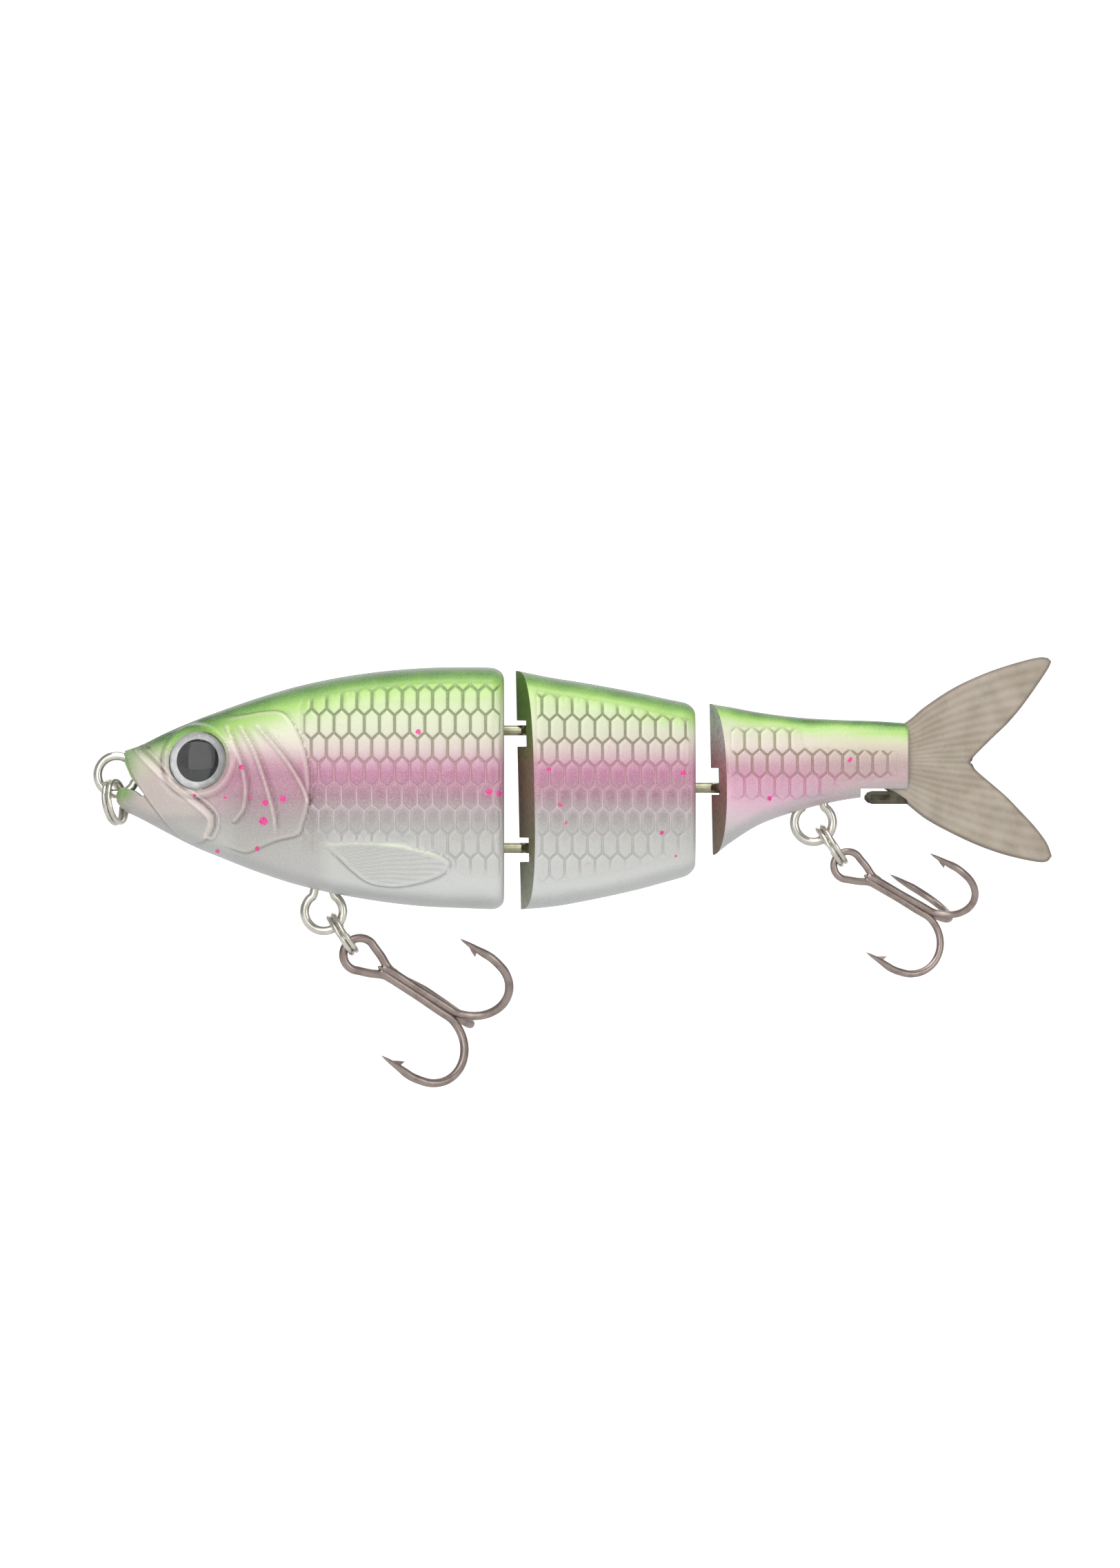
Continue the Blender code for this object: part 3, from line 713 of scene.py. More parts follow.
@dataclass(frozen=True)
class PearlPaint:
    """The body's paint: a green back, a pink band and a silver belly under a clear coat.

    Attributes:
        flake: How coarse the pearl's flakes are, in flakes a metre.
        drops: (x, z, radius) of each magenta drop, in millimetres.
    """

    flake: float = 5200.0
    drops: tuple[tuple[float, float, float], ...] = (
        (29.0, -4.1, 0.55), (25.9, -4.8, 0.55), (25.6, -7.9, 0.75), (23.4, -3.7, 0.35),
        (24.5, -12.7, 0.42), (17.5, -13.1, 0.38), (21.8, 1.3, 0.42), (52.2, 7.4, 0.45),
        (64.3, -2.9, 0.60), (66.0, -3.1, 0.45), (74.6, 1.0, 0.40), (76.5, -5.1, 0.38),
        (97.6, 0.4, 0.45), (77.4, -8.2, 0.32), (94.0, -9.9, 0.36), (126.4, 2.6, 0.42),
        (112.5, -4.0, 0.38), (19.1, -3.9, 0.28), (13.7, -3.5, 0.30), (96.4, -13.9, 0.28),
    )

    def band(self, recipe: Recipe, z: Signal) -> Signal:
        """The colours from the back to the belly.

        Args:
            recipe: The paint's node tree.
            z: The height.

        Returns:
            The colour.
        """
        return recipe.ramp(z, -24, 20, [
            (-24, tint(200, 203, 202)), (-19, tint(216, 218, 216)), (-14, tint(207, 208, 204)),
            (-11, tint(198, 198, 193)), (-9, tint(190, 187, 184)), (-7.3, tint(181, 173, 172)),
            (-5.5, tint(185, 163, 168)), (-3.8, tint(181, 141, 154)), (-2, tint(192, 140, 160)),
            (0, tint(192, 133, 158)), (1.8, tint(200, 151, 168)), (3.6, tint(211, 182, 184)),
            (5.2, tint(221, 207, 196)), (7.4, tint(224, 226, 199)), (10, tint(219, 231, 188)),
            (13, tint(209, 230, 168)), (20, tint(195, 221, 150)),
        ])

    def stern_band(self, recipe: Recipe, z: Signal) -> Signal:
        """The same on the tail section, where the pink runs down to the belly.

        Args:
            recipe: The paint's node tree.
            z: The height.

        Returns:
            The colour.
        """
        return recipe.ramp(z, -10, 12, [
            (-10, tint(199, 197, 199)), (-7.3, tint(220, 201, 208)), (-5.5, tint(226, 189, 205)),
            (-3.7, tint(228, 179, 201)), (-1.9, tint(222, 168, 191)), (0, tint(210, 152, 176)),
            (1.8, tint(205, 160, 172)), (3.5, tint(218, 193, 189)), (5.2, tint(232, 220, 207)),
            (8, tint(220, 226, 191)), (12, tint(205, 222, 164)),
        ])

    def grooves(self, recipe: Recipe, z: Signal) -> Signal:
        """The colours between the scales: olive above, pale in the pink band and below.

        Args:
            recipe: The paint's node tree.
            z: The height.

        Returns:
            The colour.
        """
        return recipe.ramp(z, -24, 20, [
            (-24, tint(189, 191, 189)), (-12, tint(184, 184, 181)), (-9.2, tint(190, 187, 184)),
            (-6, tint(199, 190, 190)), (-3.4, tint(200, 170, 178)), (-1.4, tint(196, 147, 164)),
            (1.2, tint(192, 134, 153)), (3.0, tint(178, 133, 138)), (4.6, tint(149, 136, 115)),
            (8, tint(134, 134, 101)), (13, tint(121, 144, 86)), (20, tint(110, 148, 71)),
        ])

    def stern_grooves(self, recipe: Recipe, z: Signal) -> Signal:
        """The same on the tail section.

        Args:
            recipe: The paint's node tree.
            z: The height.

        Returns:
            The colour.
        """
        return recipe.ramp(z, -10, 12, [
            (-10, tint(210, 194, 202)), (-5.5, tint(213, 167, 188)), (-3.2, tint(208, 142, 175)),
            (-0.8, tint(200, 132, 161)), (0.6, tint(173, 132, 134)), (3.6, tint(159, 134, 120)),
            (5.2, tint(165, 153, 126)), (12, tint(146, 165, 101)),
        ])

    def material(self) -> bpy.types.Material:
        """Builds the paint.

        Returns:
            The finish.
        """
        recipe = Recipe("pearl_paint", Metallic=0.12, IOR=1.5, Coat_Weight=0.40, Coat_Roughness=0.12,
                        Specular_IOR_Level=0.35)
        x, _, z = recipe.split()
        cloud = recipe.noise(160, 4) - 0.5
        stern = x.step(100.0, 101.0)
        front, rear = self.band(recipe, z + cloud * 3.0), self.stern_band(recipe, z + cloud * 2.0)
        colour = recipe.mix(stern, front, rear)
        deep = recipe.mix(0.72, colour, recipe.ramp(z, -24, 20, [
            (-18, tint(206, 206, 203)), (-12, tint(193, 193, 189)), (-9, tint(168, 165, 161)),
            (-7.3, tint(149, 142, 142)), (-5.3, tint(161, 144, 149)), (-3.4, tint(149, 105, 125)),
            (-1.6, tint(170, 118, 141)), (0.5, tint(185, 107, 150)), (2.2, tint(209, 163, 183)),
            (4.5, tint(215, 196, 191)), (9, tint(210, 220, 186)),
        ]))
        # Scale centres get a deeper colour: partly the paint's own deeper tone, partly painted shade that
        # leaves the bevelled edges looking lit.
        colour = recipe.mix(recipe.attribute("crown") * (0.85 - stern * 0.6), colour, deep)
        colour = recipe.mix(x.step(112.0, 131.0) * 0.7, colour, recipe.ramp(z, -8, 10, [
            (-6, tint(196, 190, 188)), (-1, tint(192, 178, 172)), (2, tint(182, 162, 154)),
            (4, tint(206, 194, 172)), (6.5, tint(216, 222, 172)),
        ]))
        narrower = 1.0 + x.step(62.0, 74.0) * 0.35 + stern * 0.75
        depth = (recipe.attribute("back_depth") + cloud * 1.6) * narrower
        green = recipe.ramp(depth, 0, 10, [
            (0, tint(44, 88, 22)), (0.8, tint(68, 122, 38)), (2.0, tint(128, 182, 74)),
            (3.2, tint(172, 216, 110)), (5.2, tint(194, 224, 144)), (9, tint(208, 227, 174)),
        ])
        colour = recipe.mix(1.0 - depth.step(3.2, 8.2), colour, green)
        pale = (1.0 - x.step(11.5, 20.0)) * (1.0 - z.step(2.6, 6.4)) * z.step(-8.5, -6.0)
        colour = recipe.mix(pale * 0.8, colour, tint(206, 198, 188))
        cheek = x.step(18.0, 22.0) * (1.0 - x.step(34.0, 38.0)) * (1.0 - z.step(0.0, 5.0))
        colour = recipe.mix(cheek * 0.55, colour, recipe.mix(1.0, colour, tint(224, 216, 218), "MULTIPLY"))
        snout = (1.0 - x.step(1.2, 4.6)) * z.step(-5.4, -3.0)
        colour = recipe.mix(snout, colour, tint(132, 172, 100))
        lines = recipe.attribute("groove")
        between = recipe.mix(stern, self.grooves(recipe, z), self.stern_grooves(recipe, z))
        colour = recipe.mix(lines * 0.92, colour, between)
        # Painted shade in the head's moulded creases, and a painted highlight on its crests where the
        # values are negative.
        moulded = recipe.attribute("crease")
        crease = moulded.most(0.0)
        colour = recipe.mix(crease, colour, recipe.mix(1.0, colour, tint(122, 120, 108), "MULTIPLY"))
        # The pale colour of the painted highlight on the moulded crests.
        crest_highlight = recipe.mix(z.step(-11.6, -10.6), tint(206, 214, 180), tint(236, 222, 212))
        colour = recipe.mix((0.0 - moulded).most(0.0), colour, crest_highlight)
        # Painted shade: the lowest 1.2 to 3 mm of the belly, which faces down, is mixed towards grey.
        keel = 1.0 - (recipe.attribute("keel") + cloud * 0.8).step(1.2, 3.0)
        colour = recipe.mix(keel * 0.5, colour, tint(166, 170, 168))
        speck = recipe.noise(2600, 1).step(0.66, 0.74) * recipe.noise(230, 2).step(0.5, 0.66)
        colour = recipe.mix(speck * 0.5, colour, tint(236, 120, 176))
        colour = recipe.mix(self.spots(recipe, x, z), colour, tint(236, 38, 146))
        flake = recipe.noise(self.flake, 1)
        colour = recipe.mix(flake.step(0.35, 0.75) * 0.16, colour, tint(255, 255, 250))
        recipe.feed("Base Color", colour)
        recipe.feed("Roughness", 0.40 + flake * 0.12 - crease * 0.05)
        recipe.relief(flake + recipe.noise(900, 2) * 0.8, 0.00003, 0.35)
        return recipe.material

    def spots(self, recipe: Recipe, x: Signal, z: Signal) -> Signal:
        """Where the magenta drops are.

        Args:
            recipe: The paint's node tree.
            x: The place along the body.
            z: The height.

        Returns:
            1 on a drop and 0 elsewhere.
        """
        ragged = (recipe.noise(1500, 1) - 0.5) * 0.5
        total: Number = 0.0
        for across, up, radius in self.drops:
            dx, dz = x - across, z - up
            near = 1.0 - (dx * dx + dz * dz + ragged).step(radius * radius * 0.6, radius * radius * 1.3)
            total = near.most(total)
        return total


@dataclass(frozen=True)
class JointPaintAndShade:
    """The faces that meet at a joint: a thinner overspray of the body's colours, painted darker as well for
    the shade that falls between the sections and in the slots.

    Attributes:
        name: The finish's name.
        stops: (z in millimetres, colour) up the face.
    """

    name: str
    stops: tuple[tuple[float, Colour], ...]

    def material(self) -> bpy.types.Material:
        """Builds the paint.

        Returns:
            The finish.
        """
        recipe = Recipe(self.name, Metallic=0.1, Coat_Weight=0.25, Coat_Roughness=0.2)
        _, _, z = recipe.split()
        cloud = recipe.noise(420, 4) - 0.5
        # The ramp's dark colours are partly the overspray and partly painted shade between the sections.
        colour = recipe.ramp(z + cloud * 6.0, -24, 18, list(self.stops))
        # Random darker mottling over the joint face.
        dark_mottle = recipe.noise(1500, 3).step(0.42, 0.7)
        recipe.feed("Base Color", recipe.mix(dark_mottle * 0.35, colour, tint(70, 66, 52)))
        recipe.feed("Roughness", 0.46 + cloud * 0.3)
        recipe.relief(recipe.noise(2600, 2), 0.00005, 0.5)
        return recipe.material


@dataclass(frozen=True)
class PlatedWire:
    """Plated wire, bright or smoked, with fine drawing marks.

    Attributes:
        name: The finish's name.
        bright: The plating's colour.
        dull: Its colour where it is rubbed or tarnished.
        rough: How rough the plating is.
    """

    name: str
    bright: Colour
    dull: Colour
    rough: float

    def material(self) -> bpy.types.Material:
        """Builds the plating.

        Returns:
            The finish.
        """
        recipe = Recipe(self.name, Metallic=1.0, Specular_IOR_Level=0.5)
        patches = recipe.noise(420, 2)
        colour = recipe.mix(patches.step(0.35, 0.75), self.bright, self.dull)
        recipe.feed("Base Color", colour)
        recipe.feed("Roughness", self.rough + patches * 0.12)
        recipe.relief(recipe.noise(1600, 2), 0.00002, 0.08)
        return recipe.material


@dataclass(frozen=True)
class SoftPlastic:
    """The tail fin's smoky, slightly translucent soft plastic.

    Attributes:
        name: The finish's name.
    """

    name: str = "smoky_soft_plastic"

    def material(self) -> bpy.types.Material:
        """Builds the plastic.

        Returns:
            The finish.
        """
        recipe = Recipe(self.name, Metallic=0.0, IOR=1.46, Subsurface_Weight=0.25,
                        Subsurface_Scale=0.0012, Coat_Weight=0.15, Coat_Roughness=0.35)
        x, _, z = recipe.split()
        cloud = recipe.noise(260, 4)
        colour = recipe.mix(cloud.step(0.3, 0.75), tint(158, 146, 130), tint(182, 171, 156))
        rays = recipe.attribute("ray")
        colour = recipe.mix(rays * 0.25, colour, tint(196, 186, 172))
        colour = recipe.mix((1.0 - rays) * 0.12, colour, tint(132, 120, 104))
        colour = recipe.mix(recipe.attribute("rim") * 0.6, colour, tint(108, 98, 86))
        colour = recipe.mix(x.step(156, 162) * 0.3, colour, tint(128, 118, 106))
        flake = recipe.noise(4200, 1)
        recipe.feed("Base Color", recipe.mix(flake.step(0.6, 0.75) * 0.25, colour, tint(214, 206, 194)))
        recipe.feed("Roughness", 0.44 + cloud * 0.14)
        recipe.relief(recipe.noise(500, 2) + flake * 0.3, 0.00003, 0.2)
        return recipe.material


@dataclass(frozen=True)
class EyePrint:
    """The printed disc of an eye: a black pupil in a silver iris with a dark edge.

    Attributes:
        pupil: The pupil's radius in millimetres.
        iris: The iris's outer radius in millimetres.
    """

    pupil: float = 3.5
    iris: float = 4.55

    def material(self) -> bpy.types.Material:
        """Builds the print, which reads the distance from the disc's middle.

        Returns:
            The finish.
        """
        recipe = Recipe("eye_print", Specular_IOR_Level=0.05)
        reach = recipe.attribute("reach")
        foil = recipe.noise(900, 3)
        silver = recipe.mix(foil.step(0.3, 0.75), tint(196, 194, 196), tint(226, 224, 224))
        colour = recipe.mix(reach.step(self.pupil - 0.06, self.pupil + 0.06), tint(14, 13, 14), silver)
        edge = reach.step(self.iris - 0.1, self.iris + 0.25)
        recipe.feed("Base Color", recipe.mix(edge, colour, tint(84, 88, 82)))
        ring = reach.step(self.pupil - 0.05, self.pupil + 0.05)
        recipe.feed("Metallic", ring * 0.7 * (1.0 - edge))
        recipe.feed("Roughness", 0.3 + foil * 0.18)
        return recipe.material


@dataclass(frozen=True)
class ClearDome:
    """The clear resin dome over an eye, with faint scuffs."""

    def material(self) -> bpy.types.Material:
        """Builds the resin.

        Returns:
            The finish.
        """
        recipe = Recipe("clear_dome", Base_Color=(0.98, 0.99, 0.99), IOR=1.45, Transmission_Weight=1.0,
                        Specular_IOR_Level=0.28)
        recipe.feed("Roughness", recipe.noise(1200, 4).step(0.55, 0.9) * 0.05)
        return recipe.material


@dataclass(frozen=True)
class DullLead:
    """Cast ballast metal."""

    def material(self) -> bpy.types.Material:
        """Builds the metal.

        Returns:
            The finish.
        """
        recipe = Recipe("dull_lead", Metallic=0.8)
        grain = recipe.noise(900, 5)
        recipe.feed("Base Color", recipe.mix(grain, tint(92, 92, 96), tint(150, 150, 152)))
        recipe.feed("Roughness", 0.5 + grain * 0.3)
        recipe.relief(grain, 0.0001, 0.6)
        return recipe.material


class Finishes:
    """Every finish, built once."""

    def __init__(self) -> None:
        """Builds the materials."""
        brown = (
            (-24, tint(160, 166, 150)), (-17, tint(150, 156, 134)), (-13, tint(138, 132, 108)),
            (-2, tint(158, 136, 114)), (3, tint(148, 134, 100)), (7, tint(112, 140, 70)),
            (12, tint(88, 124, 50)), (18, tint(98, 138, 58)),
        )
        mauve = (
            (-14, tint(128, 118, 100)), (-8, tint(146, 122, 106)), (-3, tint(164, 120, 116)),
            (1, tint(186, 136, 138)), (4, tint(182, 158, 160)), (8, tint(190, 190, 192)),
            (12, tint(176, 184, 170)),
        )
        self.paint = PearlPaint().material()
        # The joint finishes are partly overspray and partly painted shade between the sections and in the
        # slots.
        self.front_joint = JointPaintAndShade("front_joint_paint_and_shade", brown).material()
        self.rear_joint = JointPaintAndShade("rear_joint_paint_and_shade", mauve).material()
        self.nickel = PlatedWire("bright_nickel", tint(222, 219, 210), tint(192, 187, 176), 0.13).material()
        self.steel = PlatedWire("hinge_steel", tint(178, 176, 150), tint(140, 140, 112), 0.24).material()
        self.smoked = PlatedWire("smoked_nickel", tint(172, 158, 152), tint(146, 130, 125), 0.27).material()
        self.soft = SoftPlastic().material()
        # The keeper's dark finish is partly its own tone and partly painted shade for its slot.
        self.dark = PlatedWire("keeper_dark_and_slot_shade", tint(96, 92, 80), tint(60, 58, 50), 0.4).material()
        self.print = EyePrint().material()
        self.dome = ClearDome().material()
        self.lead = DullLead().material()


def dress(piece: bpy.types.Object, *materials: bpy.types.Material) -> bpy.types.Object:
    """Gives a piece these finishes, in order.

    Args:
        piece: The piece.
        *materials: The finishes.

    Returns:
        The piece.
    """
    piece.data.materials.clear()
    for material in materials:
        piece.data.materials.append(material)
    return piece


# ---------------------------------------------------------------- the hard body


@dataclass(frozen=True)
class ScaleLattice:
    """Six-sided scales in staggered rows, raised from the flank.

    Attributes:
        start: (x, z) of one scale's middle, in millimetres.
        pitch: The distance along a row.
        rise: The distance between rows.
        side: The length of a scale's upright sides.
        gap: The width of the line between two scales.
        height: How far a scale stands out of the line around it.
    """

    start: tuple[float, float]
    pitch: float = 2.6
    rise: float = 4.02
    side: float = 2.86
    gap: float = 0.30
    height: float = 0.21

    def template(self) -> tuple[np.ndarray, list[list[int]], np.ndarray]:
        """Models one scale.

        Returns:
            Its points (along, up, out) in millimetres, its faces, and how far in each point is.
        """
        half, tall = self.pitch / 2 - self.gap / 2, self.side / 2 - self.gap * 0.15
        apex = tall + (self.rise - self.side) * half / (self.pitch / 2)
        corners = [(0, apex), (-half, tall), (-half, -tall), (0, -apex), (half, -tall), (half, tall)]
        ring = []
        for one, two in zip(corners, corners[1:] + corners[:1]):
            ring += [one, ((one[0] + two[0]) / 2, (one[1] + two[1]) / 2)]
        Bench.clear()
        bpy.ops.mesh.primitive_circle_add(vertices=len(ring), radius=1, fill_type="NGON")
        piece = Bench.name("scale")
        write_points(piece, np.array([(*corner, -1.0) for corner in ring]))
        Bench.open_mesh()
        bpy.ops.mesh.extrude_region_move(TRANSFORM_OT_translate={"value": (0, 0, 1.25)})
        for thickness, depth in ((0.10, 0.45), (0.20, 0.25), (0.40, 0.04)):
            bpy.ops.mesh.inset(thickness=thickness, depth=depth, use_even_offset=True)
        bpy.ops.mesh.poke(offset=0.0)
        Bench.close_mesh()
        points = read_points(piece)
        faces = [list(face.vertices) for face in piece.data.polygons]
        bpy.data.objects.remove(piece)
        return points, faces, np.interp(points[:, 2], (0.55, 0.70, 0.95, 0.985), (0, 0.25, 0.66, 1))

    def sites(self, low: tuple[float, float], high: tuple[float, float]) -> np.ndarray:
        """The middles of all scales between two corners.

        Args:
            low: The lowest (x, z).
            high: The highest (x, z).

        Returns:
            (x, z) of each middle.
        """
        found = []
        lowest = int((low[1] - self.start[1]) / self.rise) - 1
        highest = int((high[1] - self.start[1]) / self.rise) + 1
        for row in range(lowest, highest + 1):
            z = self.start[1] + row * self.rise
            first = self.start[0] + (row % 2) * self.pitch / 2
            count = range(int((low[0] - first) / self.pitch) - 1, int((high[0] - first) / self.pitch) + 2)
            found += [(first + k * self.pitch, z) for k in count]
        return np.array(found)


@dataclass
class HalfBody:
    """One half of a section of the hard body, with its scales.

    Attributes:
        section: The section's name: head, middle or tail.
        side: Which flank it is.
        line: The body line it follows.
        stations: Where its rings stand, in millimetres.
        lattice: Its scales.
        nose: (front, degrees at the sides, run, lean per mm) of a nose that falls back.
        rim: The radius of its rear rim, or 0.
        square: How full its sections are at an x.
        rows: How many points a ring has down the flank.
        cover: How strongly scales show at (x, z), from 0 to 1.
        relief: What is moulded on the flank at (x, z): its height, and the shade painted into its creases
            and the highlight painted on its crests.
        seam: How far a half stays off the middle plane.
        flat_rows: How many points a ring has along the middle plane.
        sunk: How far the lines between scales lie below the skin.
        recess: (x, z) of a rear recess's front and roof, or none. Scales stay above it.
    """

    section: str
    side: Side
    line: BodyLine
    stations: np.ndarray
    lattice: ScaleLattice
    nose: tuple[float, float, float, float]
    rim: float
    square: Callable[[np.ndarray], np.ndarray]
    rows: int
    cover: Callable[[np.ndarray, np.ndarray], np.ndarray]
    relief: Callable[[np.ndarray, np.ndarray], tuple[np.ndarray, np.ndarray]]
    seam: float = 0.04
    flat_rows: int = 5
    sunk: float = 0.11
    recess: Optional[tuple[float, float]] = None

    def inset(self, x: np.ndarray) -> np.ndarray:
        """How far the rear rim's rounding draws the outline in at x.

        Args:
            x: Where to measure.

        Returns:
            The distance.
        """
        if not self.rim:
            return np.zeros_like(x)
        over = np.clip(x - (self.stations[-1] - self.rim), 0, self.rim) / self.rim
        return self.rim * 0.8 * (1 - np.sqrt(np.clip(1 - over**2, 0, 1)))

    def shift(self, x: np.ndarray, y: np.ndarray, z: np.ndarray) -> np.ndarray:
        """How far back the nose's fall moves a point.

        Args:
            x: The points' x.
            y: Their y.
            z: Their z.

        Returns:
            The distance along x.
        """
        front, flank, run, lean = self.nose
        fade = np.clip(1 - (x - front) / run, 0, 1) if run else np.zeros_like(x)
        return fade * (tan(radians(flank)) * y - lean * z)

    def ring(self, x: float) -> np.ndarray:
        """(y, z) of evenly spaced points from the top seam to the bottom seam, y positive.

        Args:
            x: Where the ring stands.

        Returns:
            The points.
        """
        top, bottom, half = (float(v) for v in self.line.at(np.array(x)))
        draw = float(self.inset(np.array(x)))
        top, bottom, half = top - draw, bottom + draw, half - draw
        turn = np.linspace(pi / 2, -pi / 2, 721)
        c, s = np.abs(np.cos(turn)), np.sin(turn)
        middle, tall, n = (top + bottom) / 2, (top - bottom) / 2, float(self.square(np.array(x)))
        reach = ((c / half) ** n + (np.abs(s) / tall) ** n) ** (-1 / n)
        y, z = np.maximum(c * reach, self.seam), middle + s * reach
        length = np.r_[0, np.cumsum(np.hypot(np.diff(y), np.diff(z)))]
        wanted = np.linspace(0, length[-1], self.rows)
        return np.column_stack([np.interp(wanted, length, y), np.interp(wanted, length, z)])

    def skin(self) -> bpy.types.Object:
        """The half's closed outer form, with its moulded relief.

        Returns:
            The skin.
        """
        count, rows = len(self.stations), self.rows + self.flat_rows
        surface = np.empty((count, rows, 3))
        for i, x in enumerate(self.stations):
            ring = self.ring(x)
            back = np.linspace(ring[-1], ring[0], self.flat_rows + 1)[1:]
            around = np.vstack([ring, back])
            surface[i, :, 0] = x + self.shift(np.full(rows, x), around[:, 0], around[:, 1])
            surface[i, :, 1:] = around
        outer = surface[:, : self.rows]
        normal = np.cross(np.gradient(outer, axis=1), np.gradient(outer, axis=0))
        normal /= np.maximum(np.linalg.norm(normal, axis=2), 1e-9)[..., None]
        normal *= np.sign(normal[..., 1].sum())
        # The relief's second value is shade painted into the creases and highlight painted on the crests,
        # kept for the paint.
        height, crease = self.relief(outer[..., 0], outer[..., 2])
        cover = self.cover(outer[..., 0], outer[..., 2])
        calm = ease(outer[..., 1], 0.3, 1.6)
        outer += normal * ((height - self.sunk * cover) * calm)[..., None]
        outer[..., 1] = np.maximum(outer[..., 1], self.seam)
        top, bottom, _ = self.line.at(surface[..., 0])
        depth, keel = top - surface[..., 2], surface[..., 2] - bottom
        wide = np.zeros((2, count, rows))
        wide[0, :, : self.rows], wide[1, :, : self.rows] = cover, crease
        surface[..., 1] *= self.side.value
        piece, column, row = Bench.grid(f"{self.section}_skin_{self.side.word}", count, rows)
        write_points(piece, surface[column, row] * MM)
        layers = {"back_depth": depth, "keel": keel, "groove": wide[0], "crease": wide[1]}
        for name, values in layers.items():
            write_attribute(piece, name, values[column, row])
        Bench.weld(piece)
        Bench.fill_ends(piece)
        return piece

    def drape(self, x: np.ndarray, z: np.ndarray, out: np.ndarray) -> np.ndarray:
        """Puts points on the flank: x and z as seen from the side, out from the surface.

        Args:
            x: The points' x.
            z: The points' z.
            out: How far each stands out.

        Returns:
            The points in millimetres.
        """
        source = x.copy()
        for _ in range(4):
            top, bottom, half = self.line.at(source)
            draw = self.inset(source)
            tall = (top - bottom) / 2 - draw
            n = self.square(source)
            t = np.clip(np.abs((z - (top + bottom) / 2) / tall), 0, 0.999)
            y = (half - draw) * (1 - t**n) ** (1 / n)
            source = x - self.shift(source, y, z)
        source = np.clip(source, self.stations[0] + 0.3, self.stations[-1] - 0.25)
        x = source + self.shift(source, y, z)
        slope_z = ((half - draw) / tall) * t ** (n - 1) * (1 - t**n) ** (1 / n - 1)
        slope_z *= np.sign(z - (top + bottom) / 2)
        ahead = self.line.at(source + 0.2)[2] - self.line.at(source - 0.2)[2]
        normal = np.column_stack([-ahead / 0.4, np.ones_like(y), slope_z])
        normal /= np.linalg.norm(normal, axis=1)[:, None]
        on_body = (top + bottom) / 2 + np.sign(z - (top + bottom) / 2) * tall * t
        placed = np.column_stack([x, y, on_body]) + normal * out[:, None]
        placed[:, 1] *= self.side.value
        return placed

    def scales(self) -> bpy.types.Object:
        """All the scales of this half as one piece, each a closed low pillow.

        Returns:
            The scales.
        """
        points, faces, inward = self.lattice.template()
        low = (self.stations[0], self.line.at(self.stations)[1].min())
        high = (self.stations[-1], self.line.at(self.stations)[0].max())
        sites = self.lattice.sites(low, high)
        reach = np.array([(0, 0), (0, 1.9), (0, -1.9), (1.1, 0), (-1.1, 0)])
        near = sites[:, None] + reach[None]
        strength = self.cover(near[..., 0], near[..., 1])
        sites = sites[(strength.max(axis=1) > 0.12) & (strength.mean(axis=1) > 0.06)]
        x = (sites[:, :1] + points[None, :, 0]).ravel()
        z = (sites[:, 1:] + points[None, :, 1]).ravel()
        if self.recess:
            z = np.where(x > self.recess[0] - 0.3, np.maximum(z, self.recess[1] + 0.25), z)
        out = np.tile(points[:, 2], len(sites))
        cover = self.cover(x, z)
        lift = np.where(out < 0, -0.30, out * self.lattice.height * cover)
        height, _ = self.relief(x, z)
        placed = self.drape(x, z, lift - self.sunk * cover - 0.07 * (1 - cover) + height)
        offsets = np.arange(len(sites)) * len(points)
        copied = [[v + start for v in face] for start in offsets for face in faces]
        mesh = bpy.data.meshes.new("scales")
        mesh.from_pydata((placed * MM).tolist(), [], copied)
        piece = bpy.data.objects.new(f"{self.section}_scales_{self.side.word}", mesh)
        bpy.context.scene.collection.objects.link(piece)
        top, bottom, _ = self.line.at(x)
        layers = {
            "crown": np.tile(inward, len(sites)) * cover,
            "groove": (1 - np.tile(ease(inward, 0.0, 0.35), len(sites))) * cover,
            "back_depth": top - z,
            "keel": z - bottom,
            "crease": np.zeros(len(x)),
        }
        for name, values in layers.items():
            write_attribute(piece, name, values)
        Bench.weld(piece, 1e-7)
        return Bench.smooth(piece, 50)


def squareness(x: np.ndarray) -> np.ndarray:
    """Sections are rounder at the nose and fuller at the joint."""
    return np.interp(x, (0, 25, 60, 75, 100), (2.2, 2.4, 2.9, 3.0, 2.7))


def stern_squareness(x: np.ndarray) -> np.ndarray:
    """The tail section is nearly elliptical all along."""
    return np.full_like(np.asarray(x, float), 2.3)


def rim_stations(end: float, radius: float) -> list[float]:
    """Stations that follow the rounding of a rear rim."""
    return [end - radius * (1 - sin(radians(a))) for a in range(0, 91, 9)]


